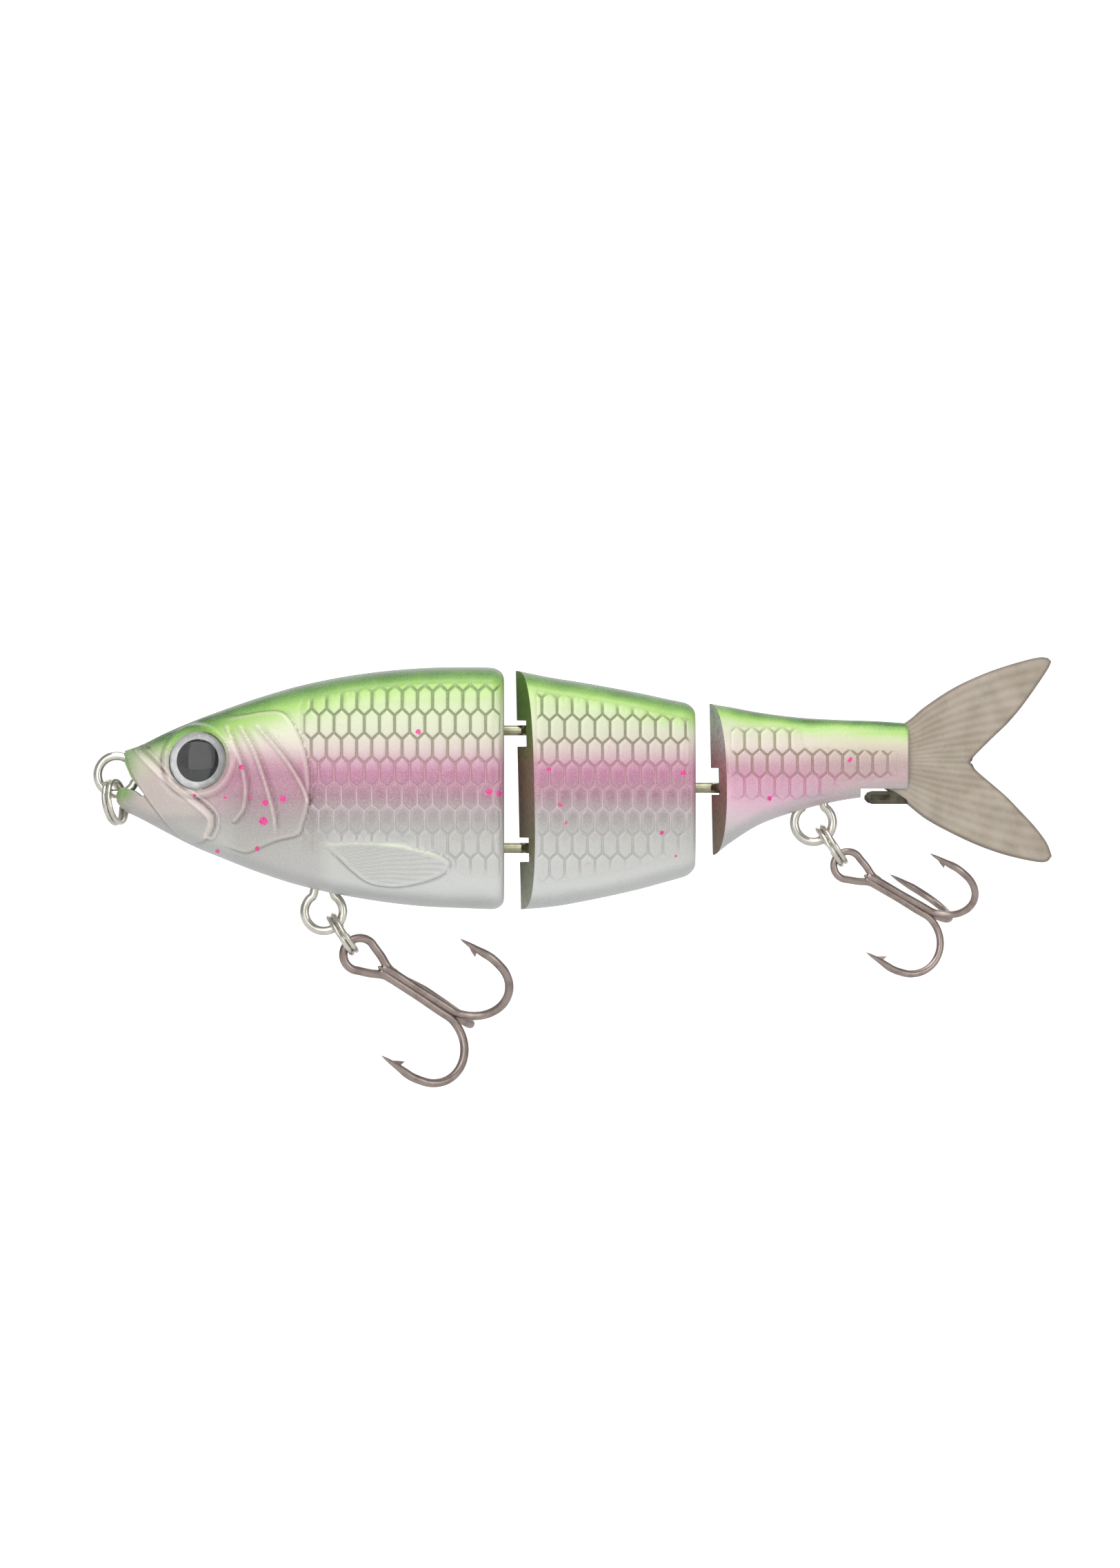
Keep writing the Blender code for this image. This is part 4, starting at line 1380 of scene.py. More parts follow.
@dataclass(frozen=True)
class HeadMoulding:
    """What is moulded on the head, in millimetres as seen from the side.

    Attributes:
        eye: The eye's middle.
        jaw_plate: The outline of the plate that runs from the snout under the eye.
        gill_lines: The ridges on the gill cover, from front to back.
        cover_edge: The gill cover's rear edge, from the top round to the throat.
        fin: The side fin's outline.
    """

    eye: tuple[float, float] = (14.4, 2.4)
    jaw_plate: tuple[tuple[float, float], ...] = (
        (4.2, 4.3), (9.1, -0.35), (13.7, -4.05), (16.6, -6.6), (17.0, -8.4), (16.3, -10.1),
        (14.9, -11.4), (13.1, -11.6), (11.4, -10.7), (9.1, -8.7), (6.8, -5.8), (4.5, -2.6),
        (2.7, 0.55), (1.8, 3.5),
    )
    gill_lines: tuple[tuple[tuple[float, float], ...], ...] = (
        ((19.0, 8.4), (20.6, 4.6), (22.1, 0.55), (22.5, -2.9), (22.1, -5.8), (20.6, -7.8)),
        ((21.2, 8.6), (23.8, 4.3), (25.5, 0.0), (26.8, -4.35), (27.5, -7.5), (27.7, -10.1)),
        ((24.2, 8.4), (27.5, 4.9), (30.1, 1.7), (32.2, -1.75), (33.3, -4.6)),
    )
    cover_edge: tuple[tuple[float, float], ...] = (
        (22.6, 10.4), (25.8, 10.9), (28.7, 10.8), (30.4, 9.2), (32.2, 5.75), (33.3, 1.7),
        (33.6, -2.6), (33.3, -5.8), (32.4, -8.7), (31.6, -10.3), (27.8, -11.3), (24.4, -12.7),
        (22.4, -13.4), (20.1, -12.7), (17.7, -11.9), (15.6, -11.0),
    )
    fin: tuple[tuple[float, float], ...] = (
        (35.6, -12.0), (38.4, -11.5), (41.4, -11.3), (45.5, -11.5), (49.5, -12.0), (54.0, -13.1),
        (57.0, -14.4), (57.6, -15.6), (56.6, -16.9), (53.6, -18.2), (49.5, -19.1), (46.4, -19.1),
        (43.4, -18.4), (40.8, -16.5), (38.0, -13.8),
    )

    def cover_distance(self, x: np.ndarray, z: np.ndarray) -> np.ndarray:
        """The distance behind the gill cover's edge, negative on the cover."""
        return outside(x, z, [*curved(self.cover_edge, 60), (12.0, -9.0), (12.0, 9.0)])

    def fin_distance(self, x: np.ndarray, z: np.ndarray) -> np.ndarray:
        """The distance from the side fin, negative on it."""
        return outside(x, z, curved((*self.fin, self.fin[0]), 70)[:-1])

    def scale_cover(self, x: np.ndarray, z: np.ndarray) -> np.ndarray:
        """Where the head has scales.

        Args:
            x: The points' x.
            z: The points' z.

        Returns:
            The cover, from 0 to 1.
        """
        top = BODY.at(x)[0]
        floor = np.interp(x, (34, 54, 60, 67), (-14.2, -14.6, -17.6, -18.0))
        shown = ease(top - z, 2.0, 3.6) * ease(z - floor, -0.4, 2.4) * ease(66.6 - x, 0.0, 0.6)
        shown *= ease(self.cover_distance(x, z), 0.25, 0.7) * ease(x, 31.5, 33.0)
        return shown * ease(self.fin_distance(x, z), 0.3, 0.9)

    def relief(self, x: np.ndarray, z: np.ndarray) -> tuple[np.ndarray, np.ndarray]:
        """Height, and the shade and highlight painted over the moulding, at (x, z).

        Args:
            x: The points' x.
            z: The points' z.

        Returns:
            The height in millimetres, and the shade painted into the creases, negative where a highlight is
            painted on the crests.
        """
        height = np.zeros_like(x)
        # The second sum is shade painted into the creases, negative where a highlight is painted on the
        # crests.
        crease = np.zeros_like(x)
        from_plate = outside(x, z, curved((*self.jaw_plate, self.jaw_plate[0]), 80)[:-1])
        height += 0.42 * ease(-from_plate, -0.15, 0.30) - 0.18 * bump(from_plate - 0.38, 0.22)
        crease += 0.66 * bump(from_plate - 0.22, 0.15) * ease(x, 2.0, 4.0)
        distance, _ = along_line(x, z, curved(self.jaw_plate[:6], 40))
        height += 0.20 * bump(distance - 0.85, 0.24) - 0.10 * bump(distance - 0.42, 0.2)
        crease += 0.42 * bump(distance - 1.22, 0.14) * (from_plate > 0)
        crease -= 0.72 * bump(distance - 0.72, 0.22) * ease(3.4 - z, 0, 2.0)
        crease -= 0.40 * bump(from_plate + 0.30, 0.2) * ease(2.4 - z, 0, 2.0)
        for line in self.gill_lines:
            distance, signed = along_line(x, z, curved(line, 40))
            fade = ease(z, -10.8, -8.0) * (1 - ease(z, 7.4, 9.2))
            height += (0.34 * bump(distance, 0.30) - 0.20 * bump(signed + 0.66, 0.26)) * fade
            crease += (0.46 * bump(signed + 0.50, 0.20) - 0.66 * bump(signed - 0.05, 0.24)) * fade
        from_cover = self.cover_distance(x, z)
        near = ease(x, 17.5, 22.0)
        height += (0.34 * ease(-from_cover, -0.15, 0.5) * ease(x, 19.0, 27.0)
                   - 0.14 * bump(from_cover - 0.3, 0.25)) * near
        crease += (0.70 * bump(from_cover - 0.12, 0.17) - 0.45 * bump(from_cover + 0.42, 0.25)) * near
        from_eye = np.hypot(x - self.eye[0], z - self.eye[1])
        height += 0.66 * bump(from_eye - 5.65, 0.50) - 0.16 * bump(from_eye - 6.85, 0.45)
        crease += 0.50 * bump(from_eye - 6.55, 0.22) * (0.35 + 0.65 * ease(15.5 - x, 0.0, 3.0))
        crease -= 0.45 * bump(from_eye - 5.7, 0.4) * ease(4.0 - z, 0, 3.0)
        nostril = np.hypot((x - 5.4) / 1.5, z - 4.75)
        height -= 0.30 * bump(nostril, 0.38)
        crease += 0.8 * bump(nostril, 0.30)
        from_fin = self.fin_distance(x, z)
        across = (z + 15.2 + 0.0035 * (x - 47) ** 2 - 0.06 * (x - 47)) / (0.9 + 0.055 * (x - 36))
        rays = np.sin(across * 2 * pi * 2.1 + 0.5 * np.sin(x * 0.9))
        root = ease(x, 35.2, 39.0)
        height += root * (0.46 * ease(-from_fin, -0.1, 0.4) - 0.14 * bump(from_fin - 0.35, 0.22))
        height += 0.10 * bump(from_fin + 0.45, 0.3) * root
        height += 0.035 * rays * ease(-from_fin, 0.6, 1.1) * root
        crease += 0.13 * (1 - rays) * ease(-from_fin, 0.5, 1.0) * root
        crease += 0.62 * bump(from_fin - 0.14, 0.17) * ease(-z, 11.6, 14.0) * root
        crease -= 0.75 * bump(from_fin + 0.28, 0.24) * ease(z, -15.5, -13.5) * root
        return height, np.clip(crease, -1, 1)


def no_relief(x: np.ndarray, z: np.ndarray) -> tuple[np.ndarray, np.ndarray]:
    """Nothing but scales is moulded on the middle and the tail."""
    return np.zeros_like(x), np.zeros_like(x)


def middle_cover(x: np.ndarray, z: np.ndarray) -> np.ndarray:
    """Where the middle section has scales.

    Args:
        x: The points' x.
        z: The points' z.

    Returns:
        The cover, from 0 to 1.
    """
    top, bottom, _ = BODY.at(x)
    shown = ease(top - z, 2.2, 3.8) * ease(z - bottom, 3.2, 6.4)
    return shown * ease(x, 72.2, 73.0) * ease(99.2 - x, 0.0, 0.9)


def tail_cover(x: np.ndarray, z: np.ndarray) -> np.ndarray:
    """Where the tail section has scales: one long row with a short one on each side.

    Args:
        x: The points' x.
        z: The points' z.

    Returns:
        The cover, from 0 to 1.
    """
    heights, ends = (-4.6, -3.6, -1.0, -0.4, 4.1, 4.7), (117.5, 123.5, 125.5, 134.9, 134.9, 118.5)
    end = np.interp(z, heights, ends)
    shown = ease(8.8 - z, 0.0, 1.6) * ease(z, -5.2, -3.4) * ease(end - x, -0.5, 2.6)
    return shown * ease(x, 105.6, 106.4)


@dataclass
class HardBody:
    """The three painted sections with their eyes.

    Attributes:
        finishes: The finishes to dress them in.
        head_end: The head's rear face, in millimetres.
        middle: The front and the rear face of the middle section.
        tail: The same for the tail section.
        rim: The rounding of the rear rims.
        room: Half the width of the holes that the hinge pins stand in.
        moulding: What is moulded on the head.
    """

    finishes: Finishes
    head_end: float = 66.8
    middle: tuple[float, float] = (69.2, 99.8)
    tail: tuple[float, float] = (102.5, 136.5)
    rim: float = 2.2
    room: float = 0.98
    moulding: HeadMoulding = field(default_factory=HeadMoulding)

    def head(self, side: Side) -> list[bpy.types.Object]:
        """One half of the head: its skin and its scales.

        Args:
            side: Which half.

        Returns:
            The skin and the scales.
        """
        nose = [1.4, 1.5, 1.7, 2.0]
        stations = np.array([*nose, *np.arange(2.3, self.head_end - self.rim, 0.31),
                             *rim_stations(self.head_end, self.rim)])
        half = HalfBody("head", side, BODY, stations, ScaleLattice((33.8, 8.75), rise=4.1, side=2.94),
                        (0, 0, 0, 0), self.rim, squareness, 172, self.moulding.scale_cover,
                        self.moulding.relief)
        skin = half.skin()
        jaw_stations = np.array([0.0, 0.12, 0.3, 0.6, 1.0, 1.5, 2.2, 3.0, 4.0, 5.0, 6.0])
        jaw = HalfBody("jaw", side, JAW, jaw_stations, half.lattice, (0, 0, 0, 0), 0,
                       stern_squareness, 48, lambda x, z: x * 0, no_relief).skin()
        Bench.combine(skin, jaw, Boolean.ADD)
        Bench.combine(skin, self.mouth(), Boolean.CUT)
        Bench.combine(skin, self.socket(side), Boolean.CUT)
        dress(skin, self.finishes.paint)
        scales = dress(half.scales(), self.finishes.paint)
        return [Bench.smooth(skin, 38), scales]

    def mouth(self) -> bpy.types.Object:
        """The gap between the jaws, for cutting.

        Returns:
            The cutting plate.
        """
        return Bench.plate([(-3.0, 3.2), (1.25, 2.6), (1.5, 1.9), (2.5, -0.3), (3.4, -1.4), (4.9, -3.4),
                            (4.4, -3.7), (3.2, -2.75), (2.0, -2.35), (-3.0, -1.2)], -7, 7)

    def seat(self, side: Side) -> Matrix:
        """The frame of an eye's seat, with Z out of the head.

        Args:
            side: Which eye.

        Returns:
            The frame.
        """
        x, z = self.moulding.eye
        half = float(BODY.at(np.array(x))[2])
        out = Vector((-0.19, side.value * 0.97, 0.10)).normalized()
        turn = out.to_track_quat("Z", "Y").to_matrix().to_4x4()
        return Matrix.Translation(Vector((x, side.value * (half - 1.55), z)) * MM) @ turn

    def socket(self, side: Side) -> bpy.types.Object:
        """The round seat of an eye, for cutting."""
        profile = [(5.07, 0.0), (5.07, 0.9), (5.2, 1.5), (5.9, 6.0)]
        return Bench.turned("socket", profile, self.seat(side), 96)

    def eye(self, side: Side) -> list[bpy.types.Object]:
        """The printed disc and the clear dome over it.

        Args:
            side: Which eye.

        Returns:
            The disc and the dome.
        """
        seat = self.seat(side)
        profile = [(4.85, 0.12), (4.85, 0.38), (4.7, 0.44), (4.0, 0.46), (3.4, 0.47), (2.0, 0.48),
                   (0.4, 0.48)]
        disc = Bench.turned(f"eye_print_{side.word}", profile, seat, 96)
        points = np.column_stack([read_points(disc), np.ones(len(disc.data.vertices))])
        local = np.array(seat.inverted()) @ points.T
        write_attribute(disc, "reach", np.hypot(local[0], local[1]) / MM)
        profile = [(4.93, 0.54), (4.95, 0.62), (4.95, 0.86)]
        profile += [(4.93 * cos(radians(a)), 0.88 + 1.72 * sin(radians(a))) for a in range(6, 90, 6)]
        dome = Bench.turned(f"eye_dome_{side.word}", profile, seat, 96)
        dress(disc, self.finishes.print)
        dress(dome, self.finishes.dome)
        return [Bench.smooth(disc, 40), Bench.smooth(dome, 60)]

    def faced(self, skin: bpy.types.Object, paint: bpy.types.Material, limit: float, wide: float,
              levels: tuple[float, ...]) -> bpy.types.Object:
        """Dresses a section, with the joint's darker finish, partly overspray and partly painted shade, on
        its nose and in its slots.

        Args:
            skin: The section's skin.
            paint: The joint's finish, partly its paint and partly painted shade.
            limit: How far back the slots reach.
            wide: How far the slots reach to each side.
            levels: The heights of the slots' flat floors and roofs.

        Returns:
            The skin.
        """
        dress(skin, self.finishes.paint, paint)
        normals = np.empty(len(skin.data.polygons) * 3)
        centres = np.empty_like(normals)
        skin.data.polygons.foreach_get("normal", normals)
        skin.data.polygons.foreach_get("center", centres)
        normals, centres = normals.reshape(-1, 3), centres.reshape(-1, 3) / MM
        off_level = np.abs(centres[:, 2:] - np.array([levels])).min(axis=1)
        front = (normals[:, 0] < -0.9) | ((np.abs(normals[:, 2]) > 0.97) & (off_level < 0.1))
        front |= (np.abs(normals[:, 1]) > 0.97) & (np.abs(centres[:, 1]) < wide + 0.1)
        chosen = front & (centres[:, 0] < limit)
        skin.data.polygons.foreach_set("material_index", chosen.astype(np.int32))
        return Bench.smooth(skin, 38)

    def pin_hole(self, pin: float, low: float, high: float) -> tuple[Corner, Corner]:
        """The corners of the hole that a hinge pin stands in."""
        return (pin - self.room, -self.room, low), (pin + self.room, self.room, high)

    def middle_half(self, side: Side) -> list[bpy.types.Object]:
        """One half of the middle section.

        Args:
            side: Which half.

        Returns:
            The skin and the scales.
        """
        front, end = self.middle
        stations = np.array([*np.arange(front, end - self.rim, 0.45), *rim_stations(end, self.rim)])
        half = HalfBody("middle", side, BODY, stations, ScaleLattice((73.35, 7.9), rise=3.97, side=2.82),
                        (front, 15.0, 11.0, 0.022), self.rim, squareness, 120, middle_cover, no_relief)
        skin = half.skin()
        slots, wide, deep = ((4.9, 9.4), (-15.0, -10.8)), 6.0, 76.3
        boxes = [((front - 6, -wide, low), (deep, wide, high)) for low, high in slots]
        Bench.cut_blocks(skin, [*boxes, self.pin_hole(FRONT_PIN, -17.2, 11.8)])
        scales = dress(half.scales(), self.finishes.paint)
        return [self.faced(skin, self.finishes.front_joint, 77.0, wide, (*slots[0], *slots[1])), scales]

    def tail_half(self, side: Side) -> list[bpy.types.Object]:
        """One half of the tail section.

        Args:
            side: Which half.

        Returns:
            The skin and the scales.
        """
        front, end = self.tail
        recess = (128.3, -2.35)
        stations = np.array([*np.arange(front, end - 0.6, 0.45), end - 0.5, end - 0.2, end - 0.06, end])
        half = HalfBody("tail", side, STERN, stations, ScaleLattice((108.2, 1.95), rise=3.95, side=2.8),
                        (front, 20.0, 9.0, 0.022), 0.5, stern_squareness, 84, tail_cover, no_relief,
                        recess=recess)
        skin = half.skin()
        slot, wide, past = (-3.4, 1.2), 3.9, 141.0
        Bench.cut_blocks(skin, [
            ((front - 6, -wide, slot[0]), (109.0, wide, slot[1])),
            self.pin_hole(REAR_PIN, -8.4, 7.2),
            ((recess[0], -8, -9), (past, 8, recess[1])),
            ((129.1, -1.65, -1.6), (past, 1.65, 7.4)),
        ])
        scales = dress(half.scales(), self.finishes.paint)
        return [self.faced(skin, self.finishes.rear_joint, 110.0, wide, slot), scales]

    def build(self) -> None:
        """Builds both halves of all sections and the eyes."""
        halves = {"head": self.head, "middle": self.middle_half, "tail": self.tail_half}
        for side in Side:
            for section, half in halves.items():
                skin, scales = half(side)
                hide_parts(f"{section}_shell_{side.word}")
                for piece in (skin, scales):
                    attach(piece, f"{section}_section")
                LOG.info("%s half, %s: %d and %d faces", section, side.word,
                         len(skin.data.polygons), len(scales.data.polygons))
            disc, dome = self.eye(side)
            for piece, node, slot in ((disc, "eye_disc", "eye_print"), (dome, "eye_lens", "eye_lens")):
                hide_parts(f"{node}_{side.word}")
                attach(piece, "head_section")


# ---------------------------------------------------------------- hardware


@dataclass
class Hardware:
    """Hangers, split rings, hinge eyes and hooks.

    Attributes:
        finishes: The finishes to dress them in.
        wire: The hangers' wire radius, in millimetres.
        loop: The radius of a hanger's loop.
        ring: The outer radius of a split ring.
        coil: The radius of a split ring's wire.
        eye: The radius of a hinge eye's ring.
        screw: The radius of a hinge eye's wire.
        belly: The (x, z) of the middle of the belly hanger's loop.
        stern: The same for the tail hanger.
    """

    finishes: Finishes
    wire: float = 0.775
    loop: float = 3.3
    ring: float = 4.1
    coil: float = 0.43
    eye: float = 2.2
    screw: float = 0.9
    belly: tuple[float, float] = (35.7, -23.588)
    stern: tuple[float, float] = (120.2, -8.213)

    def fit(self, piece: bpy.types.Object, node: str, body: str,
            material: bpy.types.Material) -> None:
        """Puts a piece in a node's place on its body.

        Args:
            piece: The piece.
            node: The node it replaces.
            body: The body it rides on.
            material: Its finish.
        """
        dress(piece, material)
        Bench.smooth(piece, 50)
        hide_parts(node)
        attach(piece, body)
        LOG.info("%s: %d faces", piece.name, len(piece.data.polygons))

    def hanger(self, word: str, loop: tuple[float, float], deep: float) -> bpy.types.Object:
        """A wire loop with two legs that go up into the body.

        Args:
            word: The piece's name.
            loop: (x, z) of the loop's middle.
            deep: How far up the legs go.

        Returns:
            The hanger.
        """
        x, z = loop
        left = [(x - 1.25, 0, z + deep), (x - 1.25, 0, z + 6.2), (x - 1.5, 0, z + 4.2)]
        right = [(2 * x - p[0], 0, p[2]) for p in left[::-1]]
        bow = [left[1], left[2], *arc(loop, self.loop, 125, 415, 30), right[0], right[1]]
        return Bench.wire(word, [*left[:2], *curved(bow, 96), *right[1:]], self.wire)

    def line_tie(self) -> bpy.types.Object:
        """The wire eye at the nose.

        Returns:
            The wire.
        """
        upper = [(12.0, 0, 1.5), (8.0, 0, 1.7), (4.6, 0, 2.25), (2.6, 0, 2.65)]
        lower = [(3.9, 0, -1.05), (5.8, 0, -0.75), (8.0, 0, -0.7), (12.0, 0, -0.6)]
        path = curved([*upper, *arc((0, 0), self.loop, 62, 338, 30), *lower], 120)
        return Bench.wire("line_tie_wire", path, self.wire)

    def split_ring(self, word: str, centre: Vector, along: Vector, across: Vector) -> bpy.types.Object:
        """Two closed coils that step over between their ends.

        Args:
            word: The piece's name.
            centre: The ring's middle.
            along: One direction in its plane.
            across: The other.

        Returns:
            The ring.
        """
        normal = along.cross(across).normalized()
        radius, step = self.ring - self.coil, 2 * self.coil + 0.06
        turns = [*np.linspace(17, 343, 60), *np.linspace(346, 374, 12)[1:-1], *np.linspace(377, 703, 60)]
        path = []
        for turn in turns:
            share = min(1.0, max(0.0, (turn - 346) / 28))
            level = (share * share * (3 - 2 * share) - 0.5) * step
            a = radians(turn)
            path.append(tuple(centre + radius * (across * cos(a) + along * sin(a)) + normal * level))
        return Bench.wire(word, path, self.coil, roundness=5)

    def hinge_eye(self, word: str, pin: float, level: float, back: float) -> bpy.types.Object:
        """A screw eye that lies flat round its pin, with a straight threaded shank.

        Args:
            word: The piece's name.
            pin: The pin's x.
            level: The eye's height.
            back: Where the shank ends.

        Returns:
            The screw eye.
        """
        turns = np.linspace(0, 2 * pi, 48, endpoint=False)
        ring = [(pin + self.eye * cos(a), self.eye * sin(a), level) for a in turns]
        eye = Bench.wire(f"{word} ring", ring, self.screw, closed=True)
        start, count, groove, tip = pin - self.eye, 60, 0.09, 0.35
        path = [(start - (start - back) * k / (count - 1), 0, level) for k in range(count)]
        threaded = back + 6.0
        thread = [self.screw - (groove if p[0] < threaded and k % 2 else 0.0)
                  for k, p in enumerate(path)]
        thread[-1] = tip
        return Bench.join([eye, Bench.wire(f"{word} shank", path, thread)], word)

    def hang(self, loop: tuple[float, float], fall: float, reach: float,
             twist: float) -> tuple[Vector, Vector, Vector]:
        """A hanging ring's middle and direction, and the middle of the hook's eye.

        Args:
            loop: (x, z) of the hanger's loop.
            fall: Degrees that the ring points down.
            reach: How far the hook's eye is.
            twist: Degrees that the ring is turned past the fall.

        Returns:
            The ring's middle, its direction and the eye's middle.
        """
        start = Vector((loop[0], 0, loop[1]))
        line = Vector((cos(radians(fall)), 0, -sin(radians(fall))))
        ring = Vector((cos(radians(fall + twist)), 0, -sin(radians(fall + twist))))
        return start + line * (1.38 + self.ring - self.coil), ring, start + line * reach

    def build(self) -> None:
        """Builds all the hardware."""
        bright, steel = self.finishes.nickel, self.finishes.steel
        self.fit(self.line_tie(), "line_tie", "head_section", bright)
        for word, loop, deep, body in (
            ("belly", self.belly, 10.6, "head_section"),
            ("tail", self.stern, 8.2, "tail_section"),
        ):
            hanger = self.hanger(f"{word}_hanger_wire", loop, deep)
            self.fit(hanger, f"{word}_hanger", body, bright)
        along = Vector((0.155, 0, -0.988)).normalized()
        across = Vector((sin(radians(20)), cos(radians(20)), 0))
        across = (across - along * across.dot(along)).normalized()
        rest = Vector((-0.86, 0, -1.0))
        tie = self.split_ring("line_tie_coil", rest + along * (self.ring - self.coil), along, across)
        self.fit(tie, "line_tie_ring", "tie_ring", bright)
        for word, loop, fall, reach, twist, lie in (
            ("belly", self.belly, 50.0, 9.6, 7.0, (33.5, 15.0, 2.0, 1.0)),
            ("tail", self.stern, 51.5, 9.45, 5.0, (30.3, 10.0, 12.0, 0.85)),
        ):
            centre, ring, eye = self.hang(loop, fall, reach, twist)
            coil = self.split_ring(f"{word}_coil", centre, ring, Vector((0, 1, 0)))
            self.fit(coil, f"{word}_split_ring", f"{word}_ring", bright)
            hook = TrebleHook(f"{word}_treble", eye, *lie).build()
            self.fit(hook, f"{word}_treble_hook", f"{word}_hook", self.finishes.smoked)
        for word, node, body, pin, level, back in (
            ("front_upper_screw_eye", "front_hinge_eye_upper", "head_section", FRONT_PIN, 7.7, 58.8),
            ("front_lower_screw_eye", "front_hinge_eye_lower", "head_section", FRONT_PIN, -12.6, 58.8),
            ("rear_screw_eye", "rear_hinge_eye", "middle_section", REAR_PIN, -2.2, 92.3),
        ):
            self.fit(self.hinge_eye(word, pin, level, back), node, body, steel)
        for node in ("front_hinge_pin", "rear_hinge_pin"):
            dress(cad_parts[node], steel)
        for node in ("head_ballast", "middle_ballast"):
            dress(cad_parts[node], self.finishes.lead)


@dataclass
class TrebleHook:
    """A treble hook: a wire eye, a brazed shank and three barbed hooks.

    Attributes:
        word: The piece's name.
        eye: The middle of its eye, in millimetres.
        fall: Degrees that the shank points down.
        away: Degrees that it points to the right side of the fish.
        spin: Degrees that it is turned about its shank.
        size: Its size against the belly hook.
        wire: Its wire's radius.
        ring: The radius of its eye.
        reach: How far the bends reach from the eye.
        bend: The radius of a bend.
        point: How far the points are from the eye.
        core: How far an arm lies from the shank's middle.
    """

    word: str
    eye: Vector
    fall: float
    away: float
    spin: float
    size: float
    wire: float = 0.75
    ring: float = 2.85
    reach: float = 25.2
    bend: float = 6.7
    point: float = 11.5
    core: float = 0.62

    def placed(self, points: Union[Points, list[Vector]]) -> Points:
        """Turns points (along, in the eye's plane, across) into the hook's lie.

        Args:
            points: The points as if the eye were at zero.

        Returns:
            The points in the body's frame.
        """
        down = Vector((cos(radians(self.fall)), 0, -sin(radians(self.fall))))
        across = Vector((0, 1, 0))
        shank = down * cos(radians(self.away)) + across * sin(radians(self.away))
        third = across * cos(radians(self.away)) - down * sin(radians(self.away))
        turn = Matrix((shank, third.cross(shank), third)).transposed()
        return [tuple(self.eye + turn @ (Vector(p) * self.size)) for p in points]

    def arm(self) -> tuple[np.ndarray, list[float]]:
        """(along, out) and the wire's radius from the shank round the bend to the point.

        Returns:
            The line's points and a radius for each.
        """
        start, centre = self.core, self.reach - self.bend
        shank = [(4.6, 0.42), (6.5, start), (centre - 6.0, start), (centre - 1.2, start + 0.12)]
        turns = np.radians(np.linspace(-80, 72, 12))
        bend = [(centre + self.bend * cos(a), start + self.bend * (1 + sin(a)) + 0.02) for a in turns]
        top = start + 2 * self.bend
        spear = [(centre - 0.6, top + 0.25), (self.point + 3.6, top + 0.1), (self.point, top)]
        line = rounded_line([*shank, *bend, *spear], 110)
        left = np.r_[np.cumsum(np.linalg.norm(np.diff(line, axis=0), axis=1)[::-1])[::-1], 0]
        widths = self.wire * np.clip((left / 5.2) ** 0.62, 0.05, 1.0)
        widths[0] *= 0.8
        return line, list(widths)

    def barb(self, out: Vector) -> bpy.types.Object:
        """A small spur cut up from the inner side of a point.

        Args:
            out: The arm's direction away from the shank.

        Returns:
            The barb.
        """
        top, base = self.core + 2 * self.bend, self.point + 3.9
        side = Vector((1, 0, 0)).cross(out)
        keel = [(base - 1.8, top - 0.28), (base - 0.1, top - 0.4), (base + 0.35, top - 1.5),
                (base - 0.9, top - 0.82)]
        Bench.clear()
        bpy.ops.mesh.primitive_cube_add(size=1)
        piece = Bench.name("barb")
        places = {}
        for corner, (u, r) in zip(((-1, -1), (1, -1), (1, 1), (-1, 1)), keel):
            for face in (-1, 1):
                thick = face * (0.05 if corner == (1, 1) else 0.22)
                places[(*corner, face)] = self.placed([Vector((u, 0, 0)) + out * r + side * thick])[0]
        signs = np.sign(read_points(piece)).astype(int)
        write_points(piece, np.array([places[tuple(s)] for s in signs.tolist()]) * MM)
        Bench.weld(piece)
        return piece

    def build(self) -> bpy.types.Object:
        """Builds the hook as one piece.

        Returns:
            The hook.
        """
        turns = np.radians(np.linspace(62, 298, 30))
        loop = [(self.ring * cos(a), self.ring * sin(a), 0) for a in turns]
        neck = [(7.2, 0.60, 0), (6.0, 0.66, 0), (4.9, 1.02, 0), (3.5, 1.72, 0)]
        path = curved([*neck, *loop, *[(p[0], -p[1], 0) for p in neck[::-1]]], 110)
        parts = [Bench.wire("eye", self.placed(path), self.wire * self.size)]
        core = self.placed([(4.0, 0, 0), (5.4, 0, 0), (8.0, 0, 0), (16.0, 0, 0), (18.4, 0, 0)])
        core_sizes = [k * self.wire * self.size for k in (0.3, 0.85, 0.7, 0.62, 0.2)]
        parts.append(Bench.wire("braze", core, core_sizes))
        for number in range(3):
            angle = radians(self.spin + 90 + 120 * number)
            out = Vector((0, cos(angle), sin(angle)))
            line, widths = self.arm()
            arm = self.placed([Vector((u, 0, 0)) + out * r for u, r in line])
            parts.append(Bench.wire("arm", arm, [w * self.size for w in widths]))
            parts.append(self.barb(out))
        return Bench.join(parts, self.word)


# ---------------------------------------------------------------- the soft fin


